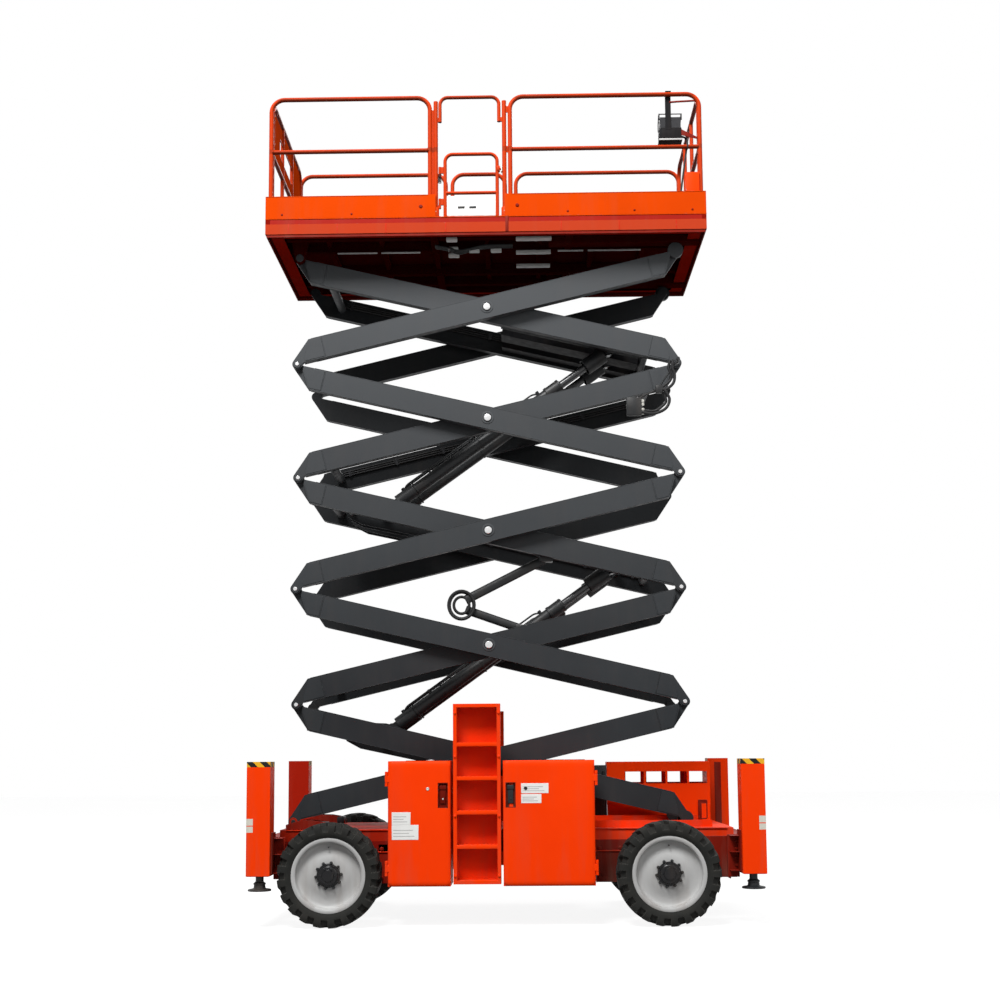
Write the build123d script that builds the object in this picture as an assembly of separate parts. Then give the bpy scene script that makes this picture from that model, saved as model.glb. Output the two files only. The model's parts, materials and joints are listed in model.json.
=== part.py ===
"""Rough-terrain scissor lift: wheeled chassis with four outriggers, a five-stage
scissor stack raised part of the way, and a railed work platform.

Millimetres, +Z up.  The origin is on the ground, midway between the four
outriggers.  -X is the front, where the wheels steer; -Y is the left side.
"""
from build123d import *
from math import atan2, cos, degrees, hypot, pi, radians, sin, sqrt
import os

os.makedirs("parts", exist_ok=True)

# ---------------------------------------------------------------- clearances
RUN = 0.05          # radial play of a pin that turns in its bore
SLIDE = 0.3         # play of a piece that slides on or in another
OPEN_PLAY = 1.5     # radial play at a pin where the closed linkage is opened
SEAT = 0.3          # gap under a moving piece that rests on a fixed one

# ---------------------------------------------------------------- overall
OVERALL_LENGTH = 4370.0         # over the outrigger housings
OVERALL_WIDTH = 2300.0          # over the tyres

# ---------------------------------------------------------------- outriggers
JACK_SIZE = 200.0               # square housing
JACK_WALL = 10.0
JACK_BOTTOM = 440.0
JACK_TOP = 1398.0
JACK_CAP = 12.0
JACK_X = OVERALL_LENGTH / 2 - JACK_SIZE / 2
JACK_Y = OVERALL_WIDTH / 2 - JACK_SIZE / 2
LEG_GAP = 5.0
LEG_COLLAR = 80.0
LEG_HEADROOM = 60.0
FOOT_BOTTOM = 312.0
FOOT_RADIUS = 100.0
FOOT_RIM = 26.0
FOOT_NECK_RADIUS = 60.0
FOOT_SHADOW = 4.0               # leg's square part below the housing
OUTRIGGER_BEAM_Z = (500.0, 720.0)
TIE_DOWN_Y = 600.0
TIE_DOWN = (90.0, 70.0, 20.0)   # width, drop below the beam, thickness
TIE_DOWN_HOLE = 22.0

# ---------------------------------------------------------------- wheels
TYRE_RADIUS = 440.0
FRONT_TYRE_TO_JACK = 50.0
REAR_TYRE_TO_JACK = 170.0
FRONT_AXLE_X = -(OVERALL_LENGTH / 2 - JACK_SIZE - FRONT_TYRE_TO_JACK - TYRE_RADIUS)
REAR_AXLE_X = OVERALL_LENGTH / 2 - JACK_SIZE - REAR_TYRE_TO_JACK - TYRE_RADIUS
TYRE_WIDTH = 300.0
RIM_RADIUS = 300.0
RIM_FLANGE = 12.0
RIM_WALL = 14.0
RIM_WIDTH = 250.0
DISC_SETBACK = 42.0             # disc face behind the rim's outer edge
DISC_THICKNESS = 16.0
HUB_RADIUS = 105.0
HUB_LENGTH = 90.0
HUB_INSET = 27.0                # hub's inner end behind the disc
SPINDLE_LENGTH = 60.0
SPINDLE_GAP = 5.0
SPINDLE_RADIUS = 35.0
KINGPIN_INSET = 30.0            # kingpin inboard of the wheel's middle
WHEEL_Y = OVERALL_WIDTH / 2 - TYRE_WIDTH / 2
KINGPIN_Y = WHEEL_Y - KINGPIN_INSET
KINGPIN_RADIUS = 20.0
KINGPIN_BOSS_RADIUS = 48.0
KINGPIN_BOSS_HEIGHT = 160.0
KNUCKLE_PLATE = 20.0
KNUCKLE_WIDTH = 90.0
KNUCKLE_GAP = 5.0               # round the kingpin boss
AXLE_TUBE_RADIUS = 62.0
DIFF_RADIUS = 150.0

# ---------------------------------------------------------------- chassis
FRAME_ABOVE_AXLE = 360.0
RAIL_TOP = TYRE_RADIUS + FRAME_ABOVE_AXLE
RAIL_HEIGHT = 200.0
RAIL_WALL = 10.0
AXLE_SEAT = (160.0, 160.0)      # along X, along Y
ARM_WIDTH = 80.0
ARM_GAP = 20.0                  # between an inner and an outer arm
INNER_ARM_Y = 440.0             # inner face of an inner arm
OUTER_ARM_Y = INNER_ARM_Y + ARM_WIDTH + ARM_GAP
RAIL_BESIDE_ARM = 40.0
RAIL_OUTER_Y = OUTER_ARM_Y + ARM_WIDTH + RAIL_BESIDE_ARM
HINGE_FOOT = 1.6                # foot of the stack's hinge, as a share of its boss
HINGE_END_INSET = 312.0         # fixed lower pin from the machine's front end

# ---------------------------------------------------------------- lockers
LOCKER_BOTTOM = 345.0
LOCKER_TOP = 1395.0
LOCKER_WALL = 20.0
LOCKER_FROM_SIDE = 30.0
LOCKER_FROM_RAIL = 30.0
LOCKER_FACE_Y = OVERALL_WIDTH / 2 - LOCKER_FROM_SIDE
LOCKER_BACK_Y = RAIL_OUTER_Y + LOCKER_FROM_RAIL
DOOR_THICKNESS = 26.0
DOOR_GAP = 5.5
HINGE_OFFSET = 14.0             # hinge axis outboard of the door's edge
HINGE_RADIUS = 12.0
HINGE_PIN_RADIUS = 6.0
HINGE_BARREL = 60.0
HINGE_LUG = 30.0
HINGE_INSET = 150.0             # from the door's top and bottom
RIB_HEIGHT = 160.0
RIB_INSET = 40.0
FRONT_LOCKER_TO_TYRE = 62.0
REAR_LOCKER_TO_TYRE = 178.0
FRONT_LOCKER_X = (FRONT_AXLE_X + TYRE_RADIUS + FRONT_LOCKER_TO_TYRE, -463.0)
REAR_LOCKER_X = (-18.0, REAR_AXLE_X - TYRE_RADIUS - REAR_LOCKER_TO_TYRE)
HINGE_ARM = 60.0                # depth of a hinge lug's arm behind its axis
HINGE_TAB = 16.0                # thickness of the tab from a barrel to the door
RECESS = (84.0, 210.0, 14.0)    # handle recess: width, height, depth
RECESS_Z = 1105.0
RECESS_EDGE = 22.0              # from the door's free edge to the recess

# ---------------------------------------------------------------- ladders
LADDER_X = (FRONT_LOCKER_X[1] + 23.0, REAR_LOCKER_X[0] - 20.0)
LADDER_Z = (361.0, 1878.0)
LADDER_FROM_SIDE = 50.0
LADDER_Y = OVERALL_WIDTH / 2 - LADDER_FROM_SIDE
STILE = 30.0                    # thickness of a side plate along X
BACK_SHEET = 6.0                # sheet behind the treads
TREAD_FIRST = 686.0
TREAD_PITCH = 287.0
TREAD_COUNT = 4
TREAD_SIZE = (150.0, 30.0)      # depth along Y, thickness
BRACKET_DEPTH = 60.0

# ---------------------------------------------------------------- rear hood
HOOD_BEFORE_AXLE = 395.0
HOOD_TO_JACK = 25.0
HOOD_FROM_RAIL = 40.0
HOOD_ABOVE_TYRE = 70.0
HOOD_X = (REAR_AXLE_X - HOOD_BEFORE_AXLE, OVERALL_LENGTH / 2 - JACK_SIZE - HOOD_TO_JACK)
HOOD_Y = (RAIL_OUTER_Y + HOOD_FROM_RAIL, LOCKER_FACE_Y)
HOOD_Z = (2 * TYRE_RADIUS + HOOD_ABOVE_TYRE, 1369.0)
HOOD_WALL = 12.0
HOOD_WINDOW = (150.0, 104.0)    # along X, along Z
HOOD_WINDOW_COUNT = 4
HOOD_WINDOW_PITCH = 210.0
HOOD_WINDOW_FIRST = 275.0       # from the hood's front end to the first centre
HOOD_WINDOW_DROP = 100.0        # from the hood's top to the window's top
HOOD_LEG = 80.0

# ---------------------------------------------------------------- engine
ENGINE_END_GAP = 57.5           # engine block to the locker's end walls
ENGINE_DEPTH = 330.0
ENGINE_HEIGHT = 560.0

# ---------------------------------------------------------------- scissor stack
STAGES = 5
ARM_LENGTH = 3614.0             # pin to pin
REST_ANGLE = 16.6               # pin line above level, in degrees
BASE_PIN = (HINGE_END_INSET - OVERALL_LENGTH / 2, RAIL_TOP + 71.0)   # fixed lower pin, X and Z
ARM_DEPTH = 200.0
ARM_WALL = 8.0
PIN_DROP = 103.0                # tube axis to end pin
TUBE_START = 62.0               # end pin to the start of the full-width tube
NOSE_LENGTH = 150.0
NOSE_DEPTH = 45.0
BOSS_RADIUS = 46.0
END_PIN_RADIUS = 25.0
CENTRE_PIN_RADIUS = 30.0
CENTRE_SLEEVE_RADIUS = 52.0
EAR_GAP = 2.0
PIN_HEAD = (36.0, 9.0)          # radius, thickness
HEAD_GAP = 2.0
TIE_RADIUS = 40.0               # cross tubes of the inner frames
TIE_WALL = 8.0
TIE_FROM_END = 300.0
GUIDE_HEIGHT = 60.0
GUIDE_WIDTH = 8.0
GUIDE_GAP = 5.0                 # guide to the roller's side
GUIDE_OVERRUN = 90.0            # track beyond the roller's reach
LOWEST_ANGLE = 4.3
HIGHEST_ANGLE = 48.5

# ---------------------------------------------------------------- lift cylinders
CYLINDER_Y = 200.0
FOOT_FROM_PIN = 860.0           # along the lower arm, from its upper end pin
EYE_FROM_PIN = 640.0            # along the upper arm, from its lower end pin
FOOT_LIFT = 34.0                # above the arm's pin line
EYE_LIFT = 29.0
BARREL_RADIUS = 56.0
MOUTH_TO_EYE = 142.0            # barrel's mouth to the rod eye's neck, with the stack down
GLAND = (64.0, 150.0)           # radius, length
BARREL_BLOCK = (64.0, 190.0)
BORE_FLOOR = 30.0
ROD_RADIUS = 36.0
ROD_SHORTER = 85.0              # rod's length under the barrel's
EYE_RADIUS = 48.0
EYE_WIDTH = 70.0
EYE_NECK = 64.0                 # eye's centre to the round barrel or rod
CYLINDER_PIN_RADIUS = 25.0
LUG_RADIUS = 38.0
LUG_THICKNESS = 15.0
LUG_GAP = 4.0
LUG_BOSS = (28.0, 8.0)          # radius, thickness
TIE_FROM_EYE = 100.0            # cylinder pin to the cross tube that carries it
EYE_TIE_TURN = 134.5            # direction of that tube, from the arm's pin line
FOOT_TIE_TURN = -74.0

# ---------------------------------------------------------------- platform
FRONT_OVERHANG = 257.0          # platform beyond the stack's pins at rest
REAR_OVERHANG = 254.7
PLATFORM_WIDTH = 1760.0
DECK_BOTTOM_ABOVE_PIN = 92.0
DECK_DEPTH = 140.0
FLOOR_THICKNESS = 8.0
SIDE_BEAM = 40.0
SIDE_GROOVE = 46.0              # height of the groove under the floor's edge
CROSS_BEAM = (40.0, 60.0)       # along X, depth
CROSS_BEAM_COUNT = 9
TRACK_WIDTH = 110.0
TOE_HEIGHT = 207.0
TOE_THICKNESS = 16.0
RAIL_TUBE = 20.0                # radius of a guard rail's tube
RAIL_BEND = 120.0
TOP_RAIL_ABOVE_FLOOR = 1138.0   # to the tube's axis
MID_RAIL_ABOVE_FLOOR = 640.0
ENTRY_POSTS_X = (-590.0, 32.0)  # axes of the posts beside the entry
PAIR_PITCH = 53.0               # a post beside the entry to its guard rail's end
PAIR_WEB = 8.0                  # thickness of the web between the two
PAIR_TAB = 60.0                 # height of a tab between the two
POST_DROP = 40.0                # post's top below the top rail's axis
GATE_FROM_POSTS = (84.0, 66.0)  # gate's tubes from the two posts
HOOP_FROM_POSTS = (39.0, 47.0)  # entry hoop's tubes from the two posts
GATE_TOP_ABOVE_FLOOR = 598.0
GATE_TUBE = 16.0
GATE_AXIS = 35.0                # post's axis to the hinge axis
GATE_FLOOR_GAP = 12.0
GATE_BAR = 233.0                # lower bar above the floor
ENTRY_HOOP_BEND = 70.0
ENTRY_HOOP_HEIGHT = 235.0
RAIL_INSET = 40.0
RIGHT_BREAKS = ((-590.0, -523.0), (20.0, 130.0))    # between the right side's three panels
END_POSTS = 2                   # upright posts in the front and rear panels
CORNER_GAP = 60.0               # between the panels' tubes at a corner
BOARD_GAP = 1.5
CONTROL_BOX_FROM_END = 191.0    # platform's rear end to the box
CONTROL_BOX_SIZE = (216.0, 130.0, 238.0)
CONTROL_BOX_DROP = 187.4        # top rail's axis to the box's top
HOOK = (60.0, 6.0)              # width, thickness

# ================================================================ worked out
theta = radians(REST_ANGLE)
stage_rise = ARM_LENGTH * sin(theta)
stage_run = ARM_LENGTH * cos(theta)
left_x, base_z = BASE_PIN
right_x = left_x + stage_run
top_z = base_z + STAGES * stage_rise
deck_bottom = top_z + DECK_BOTTOM_ABOVE_PIN
floor_top = deck_bottom + DECK_DEPTH + FLOOR_THICKNESS
platform_y = PLATFORM_WIDTH / 2
reach_low = left_x + ARM_LENGTH * cos(radians(HIGHEST_ANGLE))
reach_high = left_x + ARM_LENGTH * cos(radians(LOWEST_ANGLE))
track_bottom = top_z + (base_z - RAIL_TOP)
gate_x = (ENTRY_POSTS_X[0] + GATE_FROM_POSTS[0], ENTRY_POSTS_X[1] - GATE_FROM_POSTS[1])
hoop_x = (ENTRY_POSTS_X[0] + HOOP_FROM_POSTS[0], ENTRY_POSTS_X[1] - HOOP_FROM_POSTS[1])
platform_x = (left_x - FRONT_OVERHANG, right_x + REAR_OVERHANG)
control_box_x = (
    platform_x[1] - CONTROL_BOX_FROM_END - CONTROL_BOX_SIZE[0],
    platform_x[1] - CONTROL_BOX_FROM_END,
)
control_box_top = floor_top + TOP_RAIL_ABOVE_FLOOR - CONTROL_BOX_DROP
KNUCKLE_HALF = KINGPIN_BOSS_HEIGHT / 2 + KNUCKLE_GAP + KNUCKLE_PLATE
HUB_FACE_GAP = 2.0
KNUCKLE_FACE_Y = WHEEL_Y + RIM_WIDTH / 2 - DISC_SETBACK - DISC_THICKNESS - HUB_INSET - HUB_FACE_GAP


def cylinder_length(angle):
    """Foot eye to rod eye with the arms' pin lines at an angle in degrees."""
    along = ARM_LENGTH - FOOT_FROM_PIN - EYE_FROM_PIN
    across = ARM_LENGTH + FOOT_FROM_PIN + EYE_FROM_PIN
    c, s = cos(radians(angle)), sin(radians(angle))
    lift = EYE_LIFT - FOOT_LIFT
    return hypot(along * c + lift * s, across * s + lift * c)


barrel_end = cylinder_length(LOWEST_ANGLE) - EYE_NECK - MOUTH_TO_EYE
rod_length = barrel_end - ROD_SHORTER


def block(x, y, z):
    """A box between pairs of limits along X, Y and Z."""
    size = (x[1] - x[0], y[1] - y[0], z[1] - z[0])
    centre = ((x[0] + x[1]) / 2, (y[0] + y[1]) / 2, (z[0] + z[1]) / 2)
    return Pos(*centre) * Box(*size)


def rod_y(x, z, y, radius):
    """A round bar along Y between two limits."""
    return Pos(x, (y[0] + y[1]) / 2, z) * Rot(X=90) * Cylinder(radius, abs(y[1] - y[0]))


def rod_z(x, y, z, radius):
    """A round bar along Z between two limits."""
    return Pos(x, y, (z[0] + z[1]) / 2) * Cylinder(radius, z[1] - z[0])


def plate_y(points, y):
    """A flat plate in the XZ plane: an outline of (x, z) points, carried from y[0] to y[1]."""
    face = make_face(Polyline(*[(px, y[0], pz) for px, pz in points], close=True).edges())
    return extrude(face, amount=y[1] - y[0], dir=(0, 1, 0))


def both_sides(solid):
    """The piece and its mirror image on the other side of the machine."""
    return [solid, mirror(solid, about=Plane.XZ)]


def save(name, *solids):
    """Write one node: one solid, or like pieces that don't touch."""
    shape = solids[0] if len(solids) == 1 else Compound(children=list(solids))
    export_step(shape, f"parts/{name}.step")


# ================================================================ wheels
def turned(profile):
    """A ring about the Y axis from an outline of (radius, y) points."""
    face = make_face(Polyline(*[(r, y, 0) for r, y in profile], close=True).edges())
    return revolve(face, axis=Axis.Y)


def make_rim():
    """Steel rim with a dished disc and a hub; the outer side is +Y."""
    half = RIM_WIDTH / 2
    inner = RIM_RADIUS - RIM_WALL
    lip = RIM_RADIUS + RIM_FLANGE
    shell = turned([
        (inner, -half), (lip, -half), (lip, -half + RIM_FLANGE), (RIM_RADIUS, -half + RIM_FLANGE),
        (RIM_RADIUS, half - RIM_FLANGE), (lip, half - RIM_FLANGE), (lip, half), (inner, half),
    ])
    disc_y = half - DISC_SETBACK
    disc = rod_y(0, 0, (disc_y - DISC_THICKNESS, disc_y), inner + 1)
    hub_y = disc_y - DISC_THICKNESS - HUB_INSET
    hub = rod_y(0, 0, (hub_y, hub_y + HUB_LENGTH), HUB_RADIUS)
    bore = rod_y(0, 0, (hub_y - 1, hub_y + SPINDLE_LENGTH + SPINDLE_GAP), SPINDLE_RADIUS + RUN)
    return (shell + disc + hub - bore).solid()


def make_tyre():
    """Tyre as one ring, with square shoulders and a bead between the rim's flanges."""
    bead = RIM_WIDTH / 2 - RIM_FLANGE - 1
    half = TYRE_WIDTH / 2
    side = [
        (RIM_RADIUS, bead), (RIM_RADIUS + RIM_FLANGE + 1, bead),
        (RIM_RADIUS + 0.32 * (TYRE_RADIUS - RIM_RADIUS), half - 10),
        (RIM_RADIUS + 0.62 * (TYRE_RADIUS - RIM_RADIUS), half),
        (TYRE_RADIUS - 16, half - 5), (TYRE_RADIUS, half - 30),
    ]
    return turned([(r, -y) for r, y in side] + side[::-1]).solid()


def place_wheels():
    """The four wheels, each a rim and a tyre."""
    rim, tyre = make_rim(), make_tyre()
    for end, axle_x in (("front", FRONT_AXLE_X), ("rear", REAR_AXLE_X)):
        for side, sign in (("left", -1), ("right", 1)):
            place = Pos(axle_x, sign * WHEEL_Y, TYRE_RADIUS)
            if sign < 0:
                place = place * Rot(Z=180)
            save(f"{end}_{side}_rim", place * rim)
            save(f"{end}_{side}_tyre", place * tyre)


# ================================================================ axles
def make_knuckle(sign):
    """Steering knuckle: a bracket round the kingpin and the wheel's spindle."""
    low, high = TYRE_RADIUS - KNUCKLE_HALF, TYRE_RADIUS + KNUCKLE_HALF
    inner = sign * (KINGPIN_Y - KINGPIN_BOSS_RADIUS)
    back = sign * (KINGPIN_Y + KINGPIN_BOSS_RADIUS + KNUCKLE_GAP)
    outer = sign * KNUCKLE_FACE_Y
    x = (FRONT_AXLE_X - KNUCKLE_WIDTH / 2, FRONT_AXLE_X + KNUCKLE_WIDTH / 2)
    y_all = (min(inner, outer), max(inner, outer))
    top = block(x, y_all, (high - KNUCKLE_PLATE, high))
    bottom = block(x, y_all, (low, low + KNUCKLE_PLATE))
    web = block(x, (min(back, outer), max(back, outer)), (low, high))
    pin = rod_z(FRONT_AXLE_X, sign * KINGPIN_Y, (low, high), KINGPIN_RADIUS)
    tip = sign * (KNUCKLE_FACE_Y + SPINDLE_LENGTH)
    spindle = rod_y(FRONT_AXLE_X, TYRE_RADIUS, (min(outer, tip), max(outer, tip)), SPINDLE_RADIUS)
    return (top + bottom + web + pin + spindle).solid()


def make_axle(x, tube_end):
    """Axle tube with its differential and the seats that carry the chassis."""
    tube = rod_y(x, TYRE_RADIUS, (-tube_end, tube_end), AXLE_TUBE_RADIUS)
    casing = Pos(x, 0, TYRE_RADIUS) * Sphere(DIFF_RADIUS)
    seat_x = (x - AXLE_SEAT[0] / 2, x + AXLE_SEAT[0] / 2)
    seat_y = (RAIL_OUTER_Y - 30 - AXLE_SEAT[1], RAIL_OUTER_Y - 30)
    seat_z = (TYRE_RADIUS, RAIL_TOP - RAIL_HEIGHT)
    axle = tube + casing
    for seat in both_sides(block(seat_x, seat_y, seat_z)):
        axle += seat
    return axle


def place_axles():
    """Steered front axle with its knuckles, and the fixed rear axle."""
    front = make_axle(FRONT_AXLE_X, KINGPIN_Y - KINGPIN_BOSS_RADIUS / 2)
    half = KNUCKLE_HALF - KNUCKLE_PLATE - KNUCKLE_GAP
    z = (TYRE_RADIUS - half, TYRE_RADIUS + half)
    for boss in both_sides(rod_z(FRONT_AXLE_X, KINGPIN_Y, z, KINGPIN_BOSS_RADIUS)):
        front += boss
    for bore in both_sides(rod_z(FRONT_AXLE_X, KINGPIN_Y, z, KINGPIN_RADIUS + RUN)):
        front -= bore
    save("front_axle", front.solid())
    rear = make_axle(REAR_AXLE_X, KNUCKLE_FACE_Y)
    tip = KNUCKLE_FACE_Y + SPINDLE_LENGTH
    rear += rod_y(REAR_AXLE_X, TYRE_RADIUS, (-tip, tip), SPINDLE_RADIUS)
    save("rear_axle", rear.solid())
    save("left_knuckle", make_knuckle(-1))
    save("right_knuckle", make_knuckle(1))


# ================================================================ chassis
def hollow(x, y, z, wall):
    """A closed box with walls of one thickness."""
    inside = block((x[0] + wall, x[1] - wall), (y[0] + wall, y[1] - wall), (z[0] + wall, z[1] - wall))
    return block(x, y, z) - inside


def make_chassis():
    """Boxed frame with the stack's fixed lower hinges and the rollers' guides on top."""
    end = JACK_X - JACK_SIZE / 2
    width, height = (-RAIL_OUTER_Y, RAIL_OUTER_Y), (RAIL_TOP - RAIL_HEIGHT, RAIL_TOP)
    frame = hollow((-end, end), width, height, RAIL_WALL)
    lug_y = (OUTER_ARM_Y + EAR_GAP / 2, OUTER_ARM_Y + ARM_WIDTH / 2 - EAR_GAP / 2)
    foot = HINGE_FOOT * BOSS_RADIUS
    lug = plate_y([
        (left_x - foot, RAIL_TOP - RAIL_WALL / 2), (left_x + foot, RAIL_TOP - RAIL_WALL / 2),
        (left_x + BOSS_RADIUS, base_z), (left_x - BOSS_RADIUS, base_z),
    ], lug_y)
    lug += rod_y(left_x, base_z, lug_y, BOSS_RADIUS)
    lug += end_pin(left_x, base_z, OUTER_ARM_Y + EAR_GAP / 2, OUTER_ARM_Y + ARM_WIDTH)
    guide_inner = INNER_ARM_Y + ARM_WIDTH + GUIDE_GAP
    guide_y = (guide_inner, guide_inner + GUIDE_WIDTH)
    guide_x = (reach_low - GUIDE_OVERRUN, reach_high + GUIDE_OVERRUN)
    guide = block(guide_x, guide_y, (RAIL_TOP - RAIL_WALL / 2, RAIL_TOP + GUIDE_HEIGHT))
    for piece in both_sides(lug) + both_sides(guide):
        frame += piece
    save("chassis_frame", frame.solid())


def place_outriggers():
    """Cross beams, the four square housings and the legs that slide in them."""
    inner, outer = JACK_X - JACK_SIZE / 2, JACK_X + JACK_SIZE / 2
    beam_y = JACK_Y - JACK_SIZE / 2
    beams = [
        hollow(x, (-beam_y, beam_y), OUTRIGGER_BEAM_Z, JACK_WALL)
        for x in ((-outer, -inner), (inner, outer))
    ]
    width, drop, thickness = TIE_DOWN
    for number, sign in enumerate((-1, 1)):
        x = (sign * JACK_X - thickness / 2, sign * JACK_X + thickness / 2)
        z = (OUTRIGGER_BEAM_Z[0] - drop, OUTRIGGER_BEAM_Z[0] + JACK_WALL)
        lug = block(x, (TIE_DOWN_Y - width / 2, TIE_DOWN_Y + width / 2), z)
        across = Rot(Y=90) * Cylinder(TIE_DOWN_HOLE, 2 * thickness)
        hole = Pos(sign * JACK_X, TIE_DOWN_Y, z[0] + drop / 2) * across
        for piece in both_sides(lug - hole):
            beams[number] += piece
    save("outrigger_beams", *[beam.solid() for beam in beams])
    bore = JACK_SIZE - 2 * JACK_WALL
    housing = Pos(0, 0, (JACK_BOTTOM + JACK_TOP) / 2) * Box(JACK_SIZE, JACK_SIZE, JACK_TOP - JACK_BOTTOM)
    cavity_top = JACK_TOP - JACK_CAP
    housing -= Pos(0, 0, (JACK_BOTTOM - 1 + cavity_top) / 2) * Box(bore, bore, cavity_top - JACK_BOTTOM + 1)
    places = {
        "front_left": (-JACK_X, -JACK_Y), "front_right": (-JACK_X, JACK_Y),
        "rear_left": (JACK_X, -JACK_Y), "rear_right": (JACK_X, JACK_Y),
    }
    save("outrigger_housings", *[Pos(x, y, 0) * housing for x, y in places.values()])
    leg = make_leg(bore)
    for name, (x, y) in places.items():
        save(f"{name}_leg", Pos(x, y, 0) * leg)


def make_leg(bore):
    """Square leg with a guide collar at its top and a cone foot."""
    width = bore - 2 * LEG_GAP
    top = JACK_TOP - JACK_CAP - LEG_HEADROOM
    bottom = JACK_BOTTOM - FOOT_SHADOW
    leg = hollow((-width / 2, width / 2), (-width / 2, width / 2), (bottom, top), JACK_WALL)
    collar = bore / 2 - SLIDE
    leg += block((-collar, collar), (-collar, collar), (top - LEG_COLLAR, top))
    opening = (-width / 4, width / 4)
    leg -= block(opening, opening, (top - LEG_COLLAR - JACK_WALL, top - JACK_WALL))
    leg += rod_z(0, 0, (FOOT_BOTTOM, FOOT_BOTTOM + FOOT_RIM), FOOT_RADIUS)
    cone = bottom - FOOT_BOTTOM - FOOT_RIM
    leg += Pos(0, 0, bottom - cone / 2) * Cone(FOOT_RADIUS, FOOT_NECK_RADIUS, cone)
    return leg.solid()


# ================================================================ lockers
def hinge_heights():
    """Mid heights of a locker door's two hinges."""
    return (LOCKER_BOTTOM + HINGE_INSET, LOCKER_TOP - HINGE_INSET)


def make_locker(x, hinge_end):
    """Left-hand locker, open towards -Y, with ribs to the chassis and hinge lugs."""
    front = LOCKER_FACE_Y - DOOR_THICKNESS - DOOR_GAP
    w = LOCKER_WALL
    shell = block(x, (-front, -LOCKER_BACK_Y), (LOCKER_BOTTOM, LOCKER_TOP))
    inside = ((x[0] + w, x[1] - w), (-front - 1, -LOCKER_BACK_Y - w), (LOCKER_BOTTOM + w, LOCKER_TOP - w))
    shell -= block(*inside)
    rib_top = RAIL_TOP - (RAIL_HEIGHT - RIB_HEIGHT) / 2
    rib_x = (x[0] + RIB_INSET, x[1] - RIB_INSET)
    shell += block(rib_x, (-LOCKER_BACK_Y - w / 2, -RAIL_OUTER_Y), (rib_top - RIB_HEIGHT, rib_top))
    sign = 1 if hinge_end > sum(x) / 2 else -1
    axis_x = hinge_end + sign * HINGE_OFFSET
    axis_y = -LOCKER_FACE_Y + DOOR_THICKNESS / 2
    for height in hinge_heights():
        reach = HINGE_BARREL / 2 + EAR_GAP
        for low in (height - reach - HINGE_LUG, height + reach):
            z = (low, low + HINGE_LUG)
            shell += rod_z(axis_x, axis_y, z, HINGE_RADIUS)
            arm = sorted((axis_x + sign * 10, axis_x - sign * 8))
            shell += block(arm, (axis_y, axis_y + HINGE_ARM), z)
            foot = sorted((axis_x - sign * 6, hinge_end - sign * w / 2))
            shell += block(foot, (-front + 1, axis_y + HINGE_ARM), z)
        pin_z = (height - reach - 1, height + reach + 1)
        shell += rod_z(axis_x, axis_y, pin_z, HINGE_PIN_RADIUS)
    return shell.solid()


def make_door(x, hinge_end):
    """Left-hand locker door with its hinge barrels and a recess for the handle."""
    outer, inner = -LOCKER_FACE_Y, -LOCKER_FACE_Y + DOOR_THICKNESS
    door = block(x, (outer, inner), (LOCKER_BOTTOM, LOCKER_TOP))
    sign = 1 if hinge_end > sum(x) / 2 else -1
    axis_x = hinge_end + sign * HINGE_OFFSET
    axis_y = (outer + inner) / 2
    for height in hinge_heights():
        z = (height - HINGE_BARREL / 2, height + HINGE_BARREL / 2)
        barrel = rod_z(axis_x, axis_y, z, HINGE_RADIUS)
        tab = sorted((axis_x, hinge_end - sign * 5))
        barrel += block(tab, (axis_y - HINGE_TAB / 2, axis_y + HINGE_TAB / 2), z)
        barrel -= rod_z(axis_x, axis_y, z, HINGE_PIN_RADIUS + RUN)
        door += barrel
    free_end = x[0] if sign > 0 else x[1]
    width, height, depth = RECESS
    recess = sorted((free_end + sign * RECESS_EDGE, free_end + sign * (RECESS_EDGE + width)))
    door -= block(recess, (outer - 1, outer + depth), (RECESS_Z - height / 2, RECESS_Z + height / 2))
    return door.solid()


def place_lockers():
    """Four lockers beside the chassis, hinged at their ends away from the ladders."""
    table = (("front", FRONT_LOCKER_X, FRONT_LOCKER_X[0]), ("rear", REAR_LOCKER_X, REAR_LOCKER_X[1]))
    for name, x, hinge_end in table:
        for part_name, solid in (("locker", make_locker(x, hinge_end)), ("door", make_door(x, hinge_end))):
            left, right = both_sides(solid)
            save(f"{name}_left_{part_name}", left)
            save(f"{name}_right_{part_name}", right)
    end_gap = LOCKER_WALL + ENGINE_END_GAP
    engine_x = (REAR_LOCKER_X[0] + end_gap, REAR_LOCKER_X[1] - end_gap)
    back = LOCKER_BACK_Y + LOCKER_WALL
    floor = LOCKER_BOTTOM + LOCKER_WALL
    save("engine_block", block(engine_x, (back, back + ENGINE_DEPTH), (floor, floor + ENGINE_HEIGHT)))


# ================================================================ ladders, hood
def place_ladders():
    """Two upright ladders, each a shallow box with flat treads, bracketed to the chassis."""
    x0, x1 = LADDER_X
    depth, thickness = TREAD_SIZE
    inner = LADDER_Y - depth
    sides = ((x0, x0 + STILE), (x1 - STILE, x1))
    ladder = block((x0, x1), (-inner, -inner + BACK_SHEET), LADDER_Z)
    for x in sides:
        ladder += block(x, (-LADDER_Y, -inner + BACK_SHEET), LADDER_Z)
        ladder += block(x, (-inner - 1, -RAIL_OUTER_Y), (RAIL_TOP - BRACKET_DEPTH, RAIL_TOP))
    tread_tops = [TREAD_FIRST + step * TREAD_PITCH for step in range(TREAD_COUNT)]
    for z in tread_tops + [LADDER_Z[0] + thickness, LADDER_Z[1]]:
        ladder += block((x0 + 1, x1 - 1), (-LADDER_Y, -inner + 1), (z - thickness, z))
    save("ladders", *both_sides(ladder.solid()))


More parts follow.
